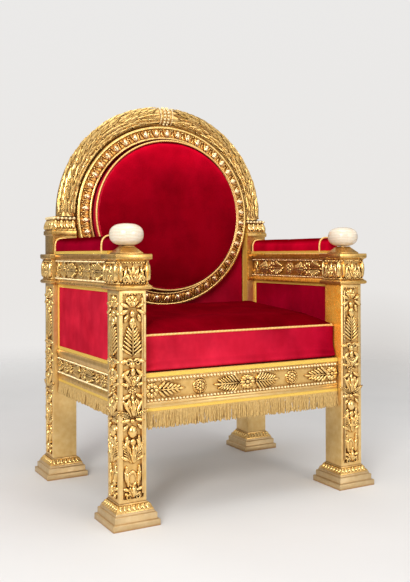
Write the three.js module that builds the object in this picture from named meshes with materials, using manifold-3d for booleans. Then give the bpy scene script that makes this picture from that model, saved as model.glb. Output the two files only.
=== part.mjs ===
// A gilded throne: four square carved posts, a laurel arch and a round framed back,
// crimson velvet upholstery with gold braid, and two ivory knobs on the front posts.
// Millimetres, +Z up, front at -Y. Left and right are as seen from the front: left is at -X.
// The origin is on the floor, under the middle of the throne.
import * as THREE from 'three';
import { mergeVertices } from 'three/addons/utils/BufferGeometryUtils.js';
import Module from 'manifold-3d';

const wasm = await Module();
wasm.setup();

// ---- Driving dimensions -------------------------------------------------------------
const WIDTH = 835;             // over the outer faces of the posts
const DEPTH = 631;             // from the front face of a front post to the back of a rear one
const POST = 80;               // side of a square post
const GAP = 0.3;               // play between pieces that touch

const FOOT_TOP = 64;           // the foot's height
const CAP_BOTTOM = 638;        // underside of the capital's lower moulding
const CAP_LOW = 652;           // top of that moulding
const CAP_HIGH = 719;          // underside of the slab
const CAP_REACH = 53;          // half side of the capital's slab and lower moulding
const ARM_TOP = 735.6;         // top of the slab, the arm's upper face
const BLOCK_TOP = 815;         // a rear post's second block, over its slab
const PYRAMID_TOP = 758;       // under the knob
const KNOB_TOP = 820;
const KNOB_R = 48;

const RING_Z = 870;            // centre of the arch and of the round back
const RING_RX = 333;           // outer half width of the ring
const RING_RZ = 318;           // outer half height of the ring
const ARCH_WIDTH = 63;         // the arch, from its inner to its outer edge at the sides
const ARCH_WIDTH_TOP = 66;     // and at the crown
const ARCH_FRONT = 545;        // arch faces, measured back from the front posts' front faces
const ARCH_BACK = 603;         // also the back of the board behind the ring
const RING_FRONT = 543;        // crests of the ring's mouldings
const RING_BACK = 582.5;
const COLLAR_TOP = 862;        // where the arch starts, above the rear posts' leaf collars

const RAIL_SETBACK = 17;       // rails and side panels lie this far inside the posts' faces
const PANEL_INNER = 372;       // inner face of a side panel, from the middle plane
const ARM_INNER = 363;         // faces of an arm's frieze, from the middle plane
const ARM_OUTER = 405.5;
const BACK_RAIL_FRONT = 585;   // faces of the rail under the back
const BACK_RAIL_BACK = 622;
const BACK_RAIL_TOP = 433;
const CUSHION_BOTTOM = 407;
const CUSHION_EDGE = 515;      // height of the cushion's piped edge
const CUSHION_CROWN = 566;
const CUSHION_BACK = 539;      // rear edge of the cushion

// ---- Places worked out from them ----------------------------------------------------
const FRONT = -DEPTH / 2;                       // y of the front posts' front faces
const POST_X = WIDTH / 2 - POST / 2;            // post centres
const POST_Y = DEPTH / 2 - POST / 2;
const INNER_X = WIDTH / 2 - POST;               // inner faces of the posts
const SIDE_X = WIDTH / 2 - RAIL_SETBACK;        // outer faces of side rails and side panels
const BAY_FRONT = FRONT + POST;                 // the side bays run between these
const BAY_BACK = DEPTH / 2 - POST;
const yFromFront = (distance) => FRONT + distance;
const between = (a, b) => [Math.min(a, b), Math.max(a, b)];

// ---- Materials ----------------------------------------------------------------------
const finish = (color, roughness, metalness) =>
  new THREE.MeshStandardMaterial({ color, roughness, metalness });
const goldLeaf = () => finish(0xc9973f, 0.35, 0.9);
const velvet = () => finish(0xb01028, 0.95, 0);
const braid = () => finish(0xd8b04a, 0.6, 0.3);
const ivory = () => finish(0xf0ebe0, 0.3, 0);
const webbing = () => finish(0x8a7a5c, 0.9, 0);

// ---- Solids -------------------------------------------------------------------------
const X = new THREE.Vector3(1, 0, 0);
const Y = new THREE.Vector3(0, 1, 0);
const Z = new THREE.Vector3(0, 0, 1);
const FORWARD = new THREE.Vector3(0, -1, 0);

function solid(geometry) {
  const bare = geometry.clone();
  bare.deleteAttribute('normal');
  bare.deleteAttribute('uv');
  const merged = mergeVertices(bare, 1e-3);
  return new wasm.Manifold(new wasm.Mesh({
    numProp: 3,
    vertProperties: new Float32Array(merged.attributes.position.array),
    triVerts: new Uint32Array(merged.index.array),
  }));
}

function geometryOf(manifold) {
  const mesh = manifold.getMesh();
  const geometry = new THREE.BufferGeometry();
  geometry.setAttribute('position', new THREE.BufferAttribute(mesh.vertProperties, 3));
  geometry.setIndex(new THREE.BufferAttribute(mesh.triVerts, 1));
  return geometry;
}

const join = (first, ...rest) =>
  geometryOf(rest.reduce((sum, piece) => sum.add(solid(piece)), solid(first)));
const cut = (first, ...rest) =>
  geometryOf(rest.reduce((left, piece) => left.subtract(solid(piece)), solid(first)));

function box(x0, x1, y0, y1, z0, z1) {
  const geometry = new THREE.BoxGeometry(x1 - x0, y1 - y0, z1 - z0);
  return geometry.translate((x0 + x1) / 2, (y0 + y1) / 2, (z0 + z1) / 2);
}

// A square stack, turned like a four-sided lathe: the profile lists [half side, z].
function squareStack(profile, x, y) {
  const bottom = profile[0][1];
  const top = profile[profile.length - 1][1];
  const points = [[0, bottom], ...profile, [0, top]];
  const outline = points.map(([half, z]) => new THREE.Vector2(half * Math.SQRT2, z));
  const geometry = new THREE.LatheGeometry(outline, 4, Math.PI / 4);
  return geometry.rotateX(Math.PI / 2).translate(x, y, 0);
}

// A flat outline pushed along a direction: u and v span the outline's plane.
function extrude(points, length, u, v, origin) {
  const shape = new THREE.Shape(points.map(([a, b]) => new THREE.Vector2(a, b)));
  const geometry = new THREE.ExtrudeGeometry(shape, { depth: length, bevelEnabled: false });
  const frame = new THREE.Matrix4().makeBasis(u, v, new THREE.Vector3().crossVectors(u, v));
  return geometry.applyMatrix4(frame).translate(...origin);
}

// Six times the volume inside a closed skin: negative when its faces point inwards.
function volumeSign(points, index) {
  let sum = 0;
  for (let i = 0; i < index.length; i += 3) {
    const [a, b, c] = [points[index[i]], points[index[i + 1]], points[index[i + 2]]];
    sum += a.dot(new THREE.Vector3().crossVectors(b, c));
  }
  return Math.sign(sum);
}

// A closed skin over rings of points; `closed` joins the last ring to the first.
function loft(rings, closed) {
  const count = rings[0].length;
  const positions = rings.flat().flatMap((point) => [point.x, point.y, point.z]);
  const index = [];
  const spans = closed ? rings.length : rings.length - 1;
  for (let i = 0; i < spans; i += 1) {
    const here = i * count;
    const next = ((i + 1) % rings.length) * count;
    for (let j = 0; j < count; j += 1) {
      const k = (j + 1) % count;
      index.push(here + j, here + k, next + k, here + j, next + k, next + j);
    }
  }
  if (!closed) {
    const last = (rings.length - 1) * count;
    for (let j = 1; j < count - 1; j += 1) {
      index.push(0, j + 1, j, last, last + j, last + j + 1);
    }
  }
  if (volumeSign(rings.flat(), index) < 0) {
    index.reverse();
  }
  const geometry = new THREE.BufferGeometry();
  geometry.setAttribute('position', new THREE.Float32BufferAttribute(positions, 3));
  geometry.setIndex(index);
  return geometry;
}

// ---- Low relief: leaves and rosettes that rise from a flat face ----------------------
const RELIEF_ROOT = 1.5;       // how deep a carved form is rooted in its ground

// A pointed leaf with a raised midrib, in the plane of its face, tip along +v.
function leaf(length, width, height, turn, u, v) {
  const outline = [[0, 0], [width / 2, length * 0.45], [0, length], [-width / 2, length * 0.45]];
  const low = outline.map(([a, b]) => new THREE.Vector3(a, b, -RELIEF_ROOT));
  const rib = outline.map(([a, b]) => new THREE.Vector3(a * 0.25, b * 0.8 + length * 0.08, height));
  return loft([low, rib], false).rotateZ(turn).translate(u, v, 0);
}

// A flower: pointed petals that rise to a raised eye.
function rosette(radius, height, petals, u, v) {
  const rings = [[1, -RELIEF_ROOT], [0.45, height]];
  const layers = rings.map(([share, z]) => {
    const ring = [];
    for (let i = 0; i < petals * 2; i += 1) {
      const angle = (i * Math.PI) / petals;
      const r = radius * share * (i % 2 ? 0.74 : 1);
      ring.push(new THREE.Vector3(u + r * Math.cos(angle), v + r * Math.sin(angle), z));
    }
    return ring;
  });
  return loft(layers, false);
}

// Puts relief drawn in (u, v, out of the face) on an upright face with this normal.
function onFace(geometry, normal, origin) {
  const u = new THREE.Vector3().crossVectors(Z, normal);
  const frame = new THREE.Matrix4().makeBasis(u, Z, normal);
  return geometry.clone().applyMatrix4(frame).translate(...origin);
}

// ---- Feet and posts -----------------------------------------------------------------
function foot(x, y) {
  const profile = [[69, 0], [69, 17], [62, 18], [62, 35], [56, 36], [56, 41],
    [54, 46], [49, 51], [44, 56], [42, 60], [42, FOOT_TOP - GAP]];
  return squareStack(profile, x, y);
}

// Each stack is rooted a little in the one below it.
const ROOT = 1;
const SHAFT = [[POST / 2, FOOT_TOP], [POST / 2, CAP_BOTTOM + ROOT]];
const CAPITAL = [[POST / 2, CAP_BOTTOM], [50, 639], [CAP_REACH, 642], [CAP_REACH, 649],
  [49, CAP_LOW], [44, 653], [44, 712], [47, 715], [47, CAP_HIGH],
  [CAP_REACH, CAP_HIGH + 1], [CAP_REACH, ARM_TOP]];
const PYRAMID = [[34, ARM_TOP - ROOT], [34, 740], [16, PYRAMID_TOP]];
const UPPER_BLOCK = [[POST / 2, ARM_TOP - ROOT], [POST / 2, 799], [44, 800],
  [44, BLOCK_TOP], [42, BLOCK_TOP + ROOT]];
const COLLAR = [[42, BLOCK_TOP], [40, 826], [33, 846], [32, 850], [35, 852], [36, 856],
  [35, 860], [32, COLLAR_TOP - GAP]];

// The sunk panel on a carved face, as a tool that cuts it.
const PANEL_BOTTOM = 76;
const PANEL_TOP = 632;
const PANEL_HALF = 28;
const PANEL_SINK = 3.5;
function panelTool(normal, x, y) {
  const outline = [[-PANEL_HALF, PANEL_BOTTOM], [PANEL_HALF, PANEL_BOTTOM],
    [PANEL_HALF, PANEL_TOP], [-PANEL_HALF, PANEL_TOP]];
  const u = new THREE.Vector3().crossVectors(Z, normal);
  const depth = POST / 2 - PANEL_SINK;
  return extrude(outline, POST, u, Z, [x + normal.x * depth, y + normal.y * depth, 0]);
}

// Leaves that radiate from a point, each starting a little way out from it.
function spray(turns, start, length, width, height, u, v) {
  return turns.map((turn) =>
    leaf(length, width, height, turn, u - start * Math.sin(turn), v + start * Math.cos(turn)));
}

// The climbing ornament on a carved face: tulip, flower, palm, palmette and pendant.
const TULIP_Z = 552;
const FLOWER_Z = 366;
const PALM_Z = 386;
const PALM_STEP = 40;
const PALM_PAIRS = 3;
const PALMETTE_Z = 226;
const PENDANT_Z = 110;
function postCarving() {
  const pieces = [
    ...spray([-0.42, 0, 0.42], 18, 46, 13, 5, 0, TULIP_Z),
    rosette(14, 5.5, 4, 0, TULIP_Z),
    rosette(12, 5, 4, 0, FLOWER_Z),
    ...spray([-0.9, 0, 0.9], 17, 40, 13, 4.5, 0, PALMETTE_Z),
    rosette(13, 5.5, 4, 0, PALMETTE_Z),
    ...spray([2.6, -2.6], 17, 36, 12, 4, 0, PALMETTE_Z),
    rosette(11, 5, 4, 0, PENDANT_Z),
  ];
  for (let i = 0; i < PALM_PAIRS; i += 1) {
    pieces.push(...spray([0.8, -0.8], 3, 36, 14, 4, 0, PALM_Z + i * PALM_STEP));
  }
  return join(...pieces);
}
const POST_CARVING = postCarving();

// A rear post's mouldings stop flush at its inner face, where the back panel meets it.
function innerTrim(side) {
  const x = between(side * INNER_X, side * (INNER_X - POST));
  return box(...x, 0, DEPTH, FOOT_TOP, 2 * RING_Z);
}

function carvedPost(x, y, normals, upperStacks, trims) {
  const stacks = [SHAFT, CAPITAL, ...upperStacks].map((profile) => squareStack(profile, x, y));
  const blank = cut(join(...stacks), ...trims);
  const sunk = cut(blank, ...normals.map((normal) => panelTool(normal, x, y)));
  const depth = POST / 2 - PANEL_SINK;
  const carving = normals.map((normal) =>
    onFace(POST_CARVING, normal, [x + normal.x * depth, y + normal.y * depth, 0]));
  return join(sunk, ...carving);
}

// ---- Friezes ------------------------------------------------------------------------
// A frieze on both sides of its middle flower: a palm leaf, a smaller flower, and a leaf that
// comes back from the end.
function friezeCarving(halfLength, height) {
  const pieces = [rosette(height * 0.44, 5, 5, 0, 0)];
  for (const side of [-1, 1]) {
    const out = side < 0 ? Math.PI / 2 : -Math.PI / 2;
    pieces.push(leaf(halfLength * 0.3, height * 0.6, 4, out, side * height * 0.6, 0));
    pieces.push(rosette(height * 0.36, 4.5, 4, side * halfLength * 0.58, 0));
    pieces.push(leaf(halfLength * 0.24, height * 0.55, 4, -out, side * halfLength * 0.93, 0));
  }
  return join(...pieces);
}

// A moulded rail: [out, z] profile on its outer side, flat inside. Its carving keeps clear of
// the ends.
const FRIEZE_END = 14;
const FRONT_RAIL_BOTTOM = 309.5;
const FRONT_RAIL_TOP = CUSHION_BOTTOM - GAP;
const FRONT_RAIL_FACE = RAIL_SETBACK + 3;
const FRONT_RAIL_THICK = 40;
function frontRail() {
  const out = 4;
  const profile = [[0, FRONT_RAIL_BOTTOM], [out, FRONT_RAIL_BOTTOM], [out + 1, 318], [out, 323],
    [out, 334], [0, 336], [0, 380], [out, 382], [out, 392], [1, 394], [1, FRONT_RAIL_TOP],
    [-FRONT_RAIL_THICK, FRONT_RAIL_TOP], [-FRONT_RAIL_THICK, FRONT_RAIL_BOTTOM]];
  const y = yFromFront(FRONT_RAIL_FACE);
  const x = INNER_X - GAP;
  const friezeMiddle = 358;
  const friezeHeight = 44;
  const body = extrude(profile, 2 * x, FORWARD, Z, [x, y, 0]);
  const relief = friezeCarving(x - FRIEZE_END, friezeHeight);
  return join(body, onFace(relief, FORWARD, [0, y, friezeMiddle]));
}

const SIDE_RAIL_BOTTOM = 328;
const SIDE_RAIL_TOP = 424;
const SIDE_RAIL_FACE = SIDE_X - 3;
const SIDE_RAIL_THICK = 25;
function sideRail(side) {
  const out = 4;
  const profile = [[0, SIDE_RAIL_BOTTOM], [out, SIDE_RAIL_BOTTOM], [out, 350], [0, 352], [0, 392],
    [out, 394], [out, 404], [out + 3, 406], [out + 3, 422], [out, SIDE_RAIL_TOP],
    [-SIDE_RAIL_THICK, SIDE_RAIL_TOP], [-SIDE_RAIL_THICK, SIDE_RAIL_BOTTOM]];
  const normal = X.clone().multiplyScalar(side);
  const length = BAY_BACK - BAY_FRONT - 2 * GAP;
  const start = side > 0 ? BAY_BACK - GAP : BAY_FRONT + GAP;
  const body = extrude(profile, length, normal, Z, [side * SIDE_RAIL_FACE, start, 0]);
  const friezeMiddle = 372;
  const friezeHeight = 38;
  const relief = friezeCarving(length / 2 - FRIEZE_END, friezeHeight);
  return join(body, onFace(relief, normal, [side * SIDE_RAIL_FACE, 0, friezeMiddle]));
}

function backRail() {
  const x = INNER_X - GAP;
  const [front, back] = [BACK_RAIL_FRONT, BACK_RAIL_BACK].map(yFromFront);
  return box(-x, x, front, back, SIDE_RAIL_BOTTOM, BACK_RAIL_TOP);
}

// ---- Arms ---------------------------------------------------------------------------
// The arm's moulding is the same on both faces. It runs into the capitals, and the room they
// take, with its play, is cut out of its ends.
function armRail(side) {
  const outer = ARM_OUTER;
  const half = [[outer, CAP_BOTTOM], [outer + 6, 641], [outer + 8, 645], [outer + 6, 650],
    [outer + 2, CAP_LOW], [outer + 2, 661], [outer, 663], [outer, 708], [outer + 2, 710],
    [outer + 2, CAP_HIGH - 2], [outer + 9, CAP_HIGH], [outer + 9, ARM_TOP]];
  const mirrored = half.map(([across, z]) => [ARM_INNER + outer - across, z]).reverse();
  const outward = X.clone().multiplyScalar(side);
  const reach = 20;
  const length = BAY_BACK - BAY_FRONT + 2 * reach;
  const start = side > 0 ? BAY_BACK + reach : BAY_FRONT - reach;
  const body = extrude([...half, ...mirrored], length, outward, Z, [0, start, 0]);
  const friezeMiddle = 686;
  const friezeHeight = 40;
  const relief = friezeCarving(length / 2 - reach - 2 * FRIEZE_END, friezeHeight);
  const outside = onFace(relief, outward, [side * outer, 0, friezeMiddle]);
  const inside = onFace(relief, outward.clone().negate(), [side * ARM_INNER, 0, friezeMiddle]);
  const room = [[POST / 2, FOOT_TOP], [POST / 2, CAP_BOTTOM - GAP], ...CAPITAL, [CAP_REACH, RING_Z]];
  const roomAndPlay = room.map(([halfSide, z]) => [halfSide + GAP, z]);
  const tools = [-POST_Y, POST_Y].map((y) => squareStack(roomAndPlay, side * POST_X, y));
  return cut(join(body, outside, inside), ...tools);
}

// An arm pad is a bolster with a half-round top. It starts behind the knob's pyramid, where its
// end is rounded off in three sections.
const PAD_FRONT = 94;
const PAD_HALF = 27;
const PAD_TOP = 790;
const PAD_X = 385;
const PAD_BACK = BAY_BACK - 1.5;
function armPad(side) {
  const bottom = ARM_TOP + GAP;
  const shoulder = PAD_TOP - PAD_HALF;
  const steps = 8;
  const section = (scale, y) => {
    const ring = [new THREE.Vector3(side * PAD_X + PAD_HALF * scale, y, bottom),
      new THREE.Vector3(side * PAD_X - PAD_HALF * scale, y, bottom)];
    for (let i = 0; i <= steps; i += 1) {
      const angle = Math.PI - (i * Math.PI) / steps;
      const z = bottom + (shoulder - bottom + PAD_HALF * Math.sin(angle)) * (0.4 + 0.6 * scale);
      ring.push(new THREE.Vector3(side * PAD_X + PAD_HALF * scale * Math.cos(angle), y, z));
    }
    return ring;
  };
  const y = yFromFront(PAD_FRONT);
  return loft([section(1, PAD_BACK), section(1, y + 18), section(0.92, y + 6), section(0.7, y)],
    false);
}

// The braid stands round the foot of the pad.
function armBraid(side) {
  const wide = 2.2;
  const high = 9;
  const x = side * PAD_X;
  const hole = PAD_HALF + GAP;
  const front = yFromFront(PAD_FRONT) - GAP - 0.1;
  const ring = box(x - PAD_HALF - wide, x + PAD_HALF + wide, front - wide - 0.4, BAY_BACK - GAP,
    ARM_TOP + GAP, ARM_TOP + high);
  return cut(ring, box(x - hole, x + hole, front, PAD_BACK + 0.4, CAP_HIGH, PAD_TOP));
}

// A knob is turned: flatter than a ball, with full shoulders.
function knob(side) {
  const centre = (PYRAMID_TOP + GAP + KNOB_TOP) / 2;
  const half = (KNOB_TOP - PYRAMID_TOP - GAP) / 2;
  const steps = 8;
  const around = 16;
  const outline = [];
  for (let i = 0; i <= steps; i += 1) {
    const angle = -Math.PI / 2 + (i * Math.PI) / steps;
    const bulge = Math.sign(Math.sin(angle)) * Math.abs(Math.sin(angle)) ** 0.85;
    const r = i % steps === 0 ? 0 : KNOB_R * Math.cos(angle) ** 0.72;
    outline.push(new THREE.Vector2(r, centre + half * bulge));
  }
  const geometry = new THREE.LatheGeometry(outline, around).rotateX(Math.PI / 2);
  return geometry.translate(side * POST_X, -POST_Y, 0);
}

// ---- Side panels --------------------------------------------------------------------
const PANEL_LOW = SIDE_RAIL_TOP + GAP;
const PANEL_HIGH = CAP_BOTTOM - GAP;
const PANEL_OUTER = SIDE_X - 2;
const PANEL_ENDS = [BAY_FRONT + GAP, BAY_BACK - GAP];
function sidePanel(side) {
  const x = between(side * PANEL_INNER, side * PANEL_OUTER);
  return box(...x, ...PANEL_ENDS, PANEL_LOW, PANEL_HIGH);
}

// A flat braid round the edge of a side panel's face, from its back at x to its front.
const BRAID = 10;
const BRAID_THICK = 1.6;
function panelBraid(x, thick) {
  const [front, back] = PANEL_ENDS;
  const faces = between(x, x + thick);
  const sheet = box(...faces, front, back, PANEL_LOW, PANEL_HIGH);
  const hole = box(faces[0] - BRAID, faces[1] + BRAID, front + BRAID, back - BRAID,
    PANEL_LOW + BRAID, PANEL_HIGH - BRAID);
  return cut(sheet, hole);
}
const outerBraid = (side) => panelBraid(side * (PANEL_OUTER + GAP), side * BRAID_THICK);
const innerBraid = (side) => panelBraid(side * (PANEL_INNER - GAP), -side * BRAID_THICK);

// ---- The arch -----------------------------------------------------------------------
// A half ring of laurel: the section swells at each tier of leaves and a plain beaded
// band sits at the crown.
const TIERS = 10;              // leaf tiers on each side
const BAND_HALF = 0.055;       // half angle of the crown band, in radians
const ARCH_PLAY = 0.7;         // the arch clears the ring's facets
function archRing(angle, swell) {
  const inner = [RING_RX + ARCH_PLAY, RING_RZ + ARCH_PLAY];
  const share = Math.max(0, Math.sin(angle));
  const width = ARCH_WIDTH + (ARCH_WIDTH_TOP - ARCH_WIDTH) * share;
  const depth = (ARCH_BACK - ARCH_FRONT) / 2;
  const centreY = yFromFront((ARCH_FRONT + ARCH_BACK) / 2);
  const section = [[0, 0.62], [0.1, 0.8], [0.34, 0.97], [0.58, 1], [0.8, 0.85],
    [0.96, 0.45], [1, 0], [0.98, -0.6], [0.9, -1], [0, -1]];
  return section.map(([across, out]) => {
    const leafy = across > 0.2 && out > -0.9 ? swell : 1;
    const grow = width * (0.5 + (across - 0.5) * leafy);
    const x = (inner[0] + grow) * Math.cos(angle);
    const z = RING_Z + (inner[1] + grow) * Math.sin(angle);
    return new THREE.Vector3(x, centreY - depth * out * leafy, z);
  });
}

function arch() {
  const rings = [];
  const end = Math.PI / 2 - BAND_HALF;
  const addHalf = (mirror) => {
    const half = [];
    for (let i = 0; i < TIERS; i += 1) {
      const a0 = (i / TIERS) * end;
      const a1 = ((i + 0.75) / TIERS) * end;
      half.push([a0, 1], [a1, 0.9]);
    }
    half.push([end, 0.88], [end + 0.001, 1.02]);
    return mirror ? half.map(([a, s]) => [Math.PI - a, s]).reverse() : half;
  };
  for (const [angle, swell] of [...addHalf(false), ...addHalf(true)]) {
    rings.push(archRing(angle, swell));
  }
  const drop = (ring) => ring.map((point) => point.clone().setZ(COLLAR_TOP));
  return loft([drop(rings[0]), ...rings, drop(rings[rings.length - 1])], false);
}

// ---- The ring -----------------------------------------------------------------------
// An oval moulding round the back. Its crest rises and falls once for each leaf.
const RING_LEAVES = 32;
function ringAt(section, angle) {
  return section.map(([inset, fromFront]) => new THREE.Vector3(
    (RING_RX - inset) * Math.cos(angle),
    yFromFront(fromFront),
    RING_Z + (RING_RZ - inset) * Math.sin(angle),
  ));
}

const RING_OPENING = 52;       // from the ring's outer edge to its opening
function medallionRing() {
  const leafCrest = 24;
  const fillet = RING_FRONT + 8;
  const hollow = RING_FRONT + 5;
  const raised = [[0, fillet], [10, fillet], [leafCrest, RING_FRONT], [40, hollow],
    [46, RING_FRONT], [RING_OPENING, RING_BACK], [0, RING_BACK]];
  const sunk = raised.map(([inset, y]) => [inset, inset === leafCrest ? hollow + 1 : y]);
  const rings = [];
  const steps = RING_LEAVES * 2;
  for (let i = 0; i < steps; i += 1) {
    rings.push(ringAt(i % 2 ? sunk : raised, (i * 2 * Math.PI) / steps));
  }
  return loft(rings, true);
}

// ---- The back -----------------------------------------------------------------------
// A half oval that stands on two legs: the shape of the board, drawn in by an inset. It is as
// wide as the room between the posts up to `shoulder`, and as wide as the ring above it.
const BACK_STEPS = 24;
function backOutline(inset, foot, shoulder) {
  const wide = INNER_X - GAP - inset;
  const rx = RING_RX - inset;
  const rz = RING_RZ - inset;
  const oval = [];
  for (let i = 0; i <= BACK_STEPS; i += 1) {
    const angle = (i * Math.PI) / BACK_STEPS;
    oval.push([rx * Math.cos(angle), RING_Z + rz * Math.sin(angle)]);
  }
  return [[wide, foot], [wide, shoulder], [rx, shoulder + 1], ...oval, [-rx, shoulder + 1],
    [-wide, shoulder], [-wide, foot]];
}

const BACK_FOOT = BACK_RAIL_TOP + GAP;
const BOARD_THICK = 20;
function backPanel() {
  const outline = backOutline(0, BACK_FOOT, COLLAR_TOP - 1.5);
  return extrude(outline, BOARD_THICK, X, Z, [0, yFromFront(ARCH_BACK), 0]);
}

// A round pad in the ring's opening: an upright side, and a crown in three steps.
const PAD_LEVELS = [[1, 582], [1, 519], [0.93, 508], [0.72, 497], [0.42, 489]];
function backPad() {
  const play = 5;
  const rx = RING_RX - RING_OPENING - play;
  const rz = RING_RZ - RING_OPENING - play;
  const steps = 32;
  const rings = PAD_LEVELS.map(([share, y]) => {
    const ring = [];
    for (let i = 0; i < steps; i += 1) {
      const angle = (i * 2 * Math.PI) / steps;
      ring.push(new THREE.Vector3(rx * share * Math.cos(angle), yFromFront(y),
        RING_Z + rz * share * Math.sin(angle)));
    }
    return ring.reverse();
  });
  return loft(rings, false);
}

// ---- Seat ---------------------------------------------------------------------------
// The deck is notched round the front posts and fills the seat frame under the cushion.
const DECK_THICK = 12;
function seatDeck() {
  const wide = SIDE_RAIL_FACE - SIDE_RAIL_THICK - GAP;
  const narrow = INNER_X - GAP;
  const front = yFromFront(FRONT_RAIL_FACE + FRONT_RAIL_THICK) + GAP;
  const back = yFromFront(BACK_RAIL_FRONT) - GAP;
  const step = BAY_FRONT + GAP;
  const rear = BAY_BACK - GAP;
  const outline = [[-narrow, front], [narrow, front], [narrow, step], [wide, step], [wide, rear],
    [narrow, rear], [narrow, back], [-narrow, back], [-narrow, rear], [-wide, rear],
    [-wide, step], [-narrow, step]];
  return extrude(outline, DECK_THICK, X, Y, [0, 0, FRONT_RAIL_TOP - DECK_THICK]);
}

// The cushion is T-shaped: narrow between the front posts and wide behind them.
const CUSHION_NARROW = 333;
const CUSHION_WIDE = PANEL_INNER - 3;
function cushionOutline(inset) {
  const narrow = CUSHION_NARROW - inset;
  const wide = CUSHION_WIDE - inset;
  const front = yFromFront(RAIL_SETBACK) + inset;
  const step = BAY_FRONT + 5 + inset;
  const back = yFromFront(CUSHION_BACK) - inset;
  const corner = 26;
  const chamfer = 8;
  const right = [[wide - chamfer, back], [wide, back - chamfer], [wide, step], [narrow, step],
    [narrow, front + corner], [narrow - chamfer, front + chamfer], [narrow - corner, front]];
  const left = right.map(([x, y]) => [-x, y]).reverse();
  return [...right, ...left].reverse();
}

// Its top rises from the piped front edge towards the back.
function seatCushion() {
  const rise = (y) => {
    const t = Math.min(1, Math.max(0, (y - FRONT) / (0.5 * DEPTH)));
    return (CUSHION_CROWN - CUSHION_EDGE) * Math.sin((t * Math.PI) / 2);
  };
  const layer = (inset, height) =>
    cushionOutline(inset).map(([x, y]) => new THREE.Vector3(x, y, height(y)));
  return loft([
    layer(1, () => CUSHION_BOTTOM),
    layer(0, () => 450),
    layer(0, (y) => CUSHION_EDGE + rise(y) * 0.35 - 6),
    layer(8, (y) => CUSHION_EDGE + rise(y) * 0.5),
    layer(26, (y) => CUSHION_EDGE + 4 + rise(y) * 0.85),
  ], false);
}

// The braid covers the seam between the cushion and its rail.
function seatBraid() {
  const x = INNER_X - GAP;
  const y = yFromFront(FRONT_RAIL_FACE) - 1 - GAP;
  return box(-x, x, y - BRAID_THICK, y, 394.5, CUSHION_BOTTOM - 1);
}

// ---- Fringes ------------------------------------------------------------------------
const FRINGE_THICK = 6;
const FRINGE_PLAY = 1;
const FRONT_FRINGE_TIPS = 250;
const SIDE_FRINGE_TIPS = 278;
function frontFringe() {
  const x = INNER_X - FRINGE_PLAY;
  const y = yFromFront(RAIL_SETBACK);
  return box(-x, x, y, y + FRINGE_THICK, FRONT_FRINGE_TIPS, FRONT_RAIL_BOTTOM - GAP);
}

function sideFringe(side) {
  const outer = SIDE_X - FRINGE_PLAY;
  const x = between(side * outer, side * (outer - FRINGE_THICK));
  return box(...x, BAY_FRONT + FRINGE_PLAY, BAY_BACK - FRINGE_PLAY, SIDE_FRINGE_TIPS,
    SIDE_RAIL_BOTTOM - GAP);
}

// ---- The outside of the back --------------------------------------------------------
// Braid round the edge of the velvet, a little inside the board's outline.
function backBraid() {
  const edge = 2;
  const outline = (inset) => backOutline(edge + inset, BACK_FOOT + edge + inset, BLOCK_TOP - BRAID);
  const y = yFromFront(ARCH_BACK) + GAP;
  const sheet = extrude(outline(0), BRAID_THICK, X, Z, [0, y + BRAID_THICK, 0]);
  const hole = extrude(outline(BRAID), 2 * BRAID, X, Z, [0, y + BRAID, 0]);
  return cut(sheet, hole);
}

// ---- Assembly -----------------------------------------------------------------------
const throne = new THREE.Group();
function add(name, geometry, material) {
  const mesh = new THREE.Mesh(geometry, material);
  mesh.name = name;
  throne.add(mesh);
}

for (const [hand, side] of [['left', -1], ['right', 1]]) {
  const outward = X.clone().multiplyScalar(side);
  const x = side * POST_X;
  add(`foot_front_${hand}`, foot(x, -POST_Y), goldLeaf());
  add(`foot_rear_${hand}`, foot(x, POST_Y), goldLeaf());
  const frontPost = carvedPost(x, -POST_Y, [FORWARD, outward], [PYRAMID], []);
  add(`post_front_${hand}`, frontPost, goldLeaf());
  const rearPost = carvedPost(x, POST_Y, [outward], [UPPER_BLOCK, COLLAR], [innerTrim(side)]);
  add(`post_rear_${hand}`, rearPost, goldLeaf());
  add(`knob_${hand}`, knob(side), ivory());
  add(`arm_rail_${hand}`, armRail(side), goldLeaf());
  add(`arm_pad_${hand}`, armPad(side), velvet());
  add(`arm_braid_${hand}`, armBraid(side), braid());
  add(`seat_rail_${hand}`, sideRail(side), goldLeaf());
  add(`side_panel_${hand}`, sidePanel(side), velvet());
  add(`outer_braid_${hand}`, outerBraid(side), braid());
  add(`inner_braid_${hand}`, innerBraid(side), braid());
  add(`fringe_${hand}`, sideFringe(side), braid());
}
add('seat_rail_front', frontRail(), goldLeaf());
add('seat_rail_back', backRail(), goldLeaf());
add('seat_deck', seatDeck(), webbing());
add('seat_cushion', seatCushion(), velvet());
add('seat_braid', seatBraid(), braid());
add('fringe_front', frontFringe(), braid());
add('laurel_arch', arch(), goldLeaf());
add('medallion_ring', medallionRing(), goldLeaf());
add('back_panel', backPanel(), velvet());
add('back_pad', backPad(), velvet());
add('back_braid', backBraid(), braid());

export default throne;
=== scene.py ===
# %% [markdown]
# A gilded throne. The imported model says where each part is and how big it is. This script
# makes what the eye sees round that model: carved and gilded wood, crimson velvet, woven gold
# braid, twisted fringe and two ivory-white knobs. Everything is in metres, +Z up, front at -Y.

import math
import random
from contextlib import contextmanager

import bmesh
import bpy
from mathutils import Matrix, Vector


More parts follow.
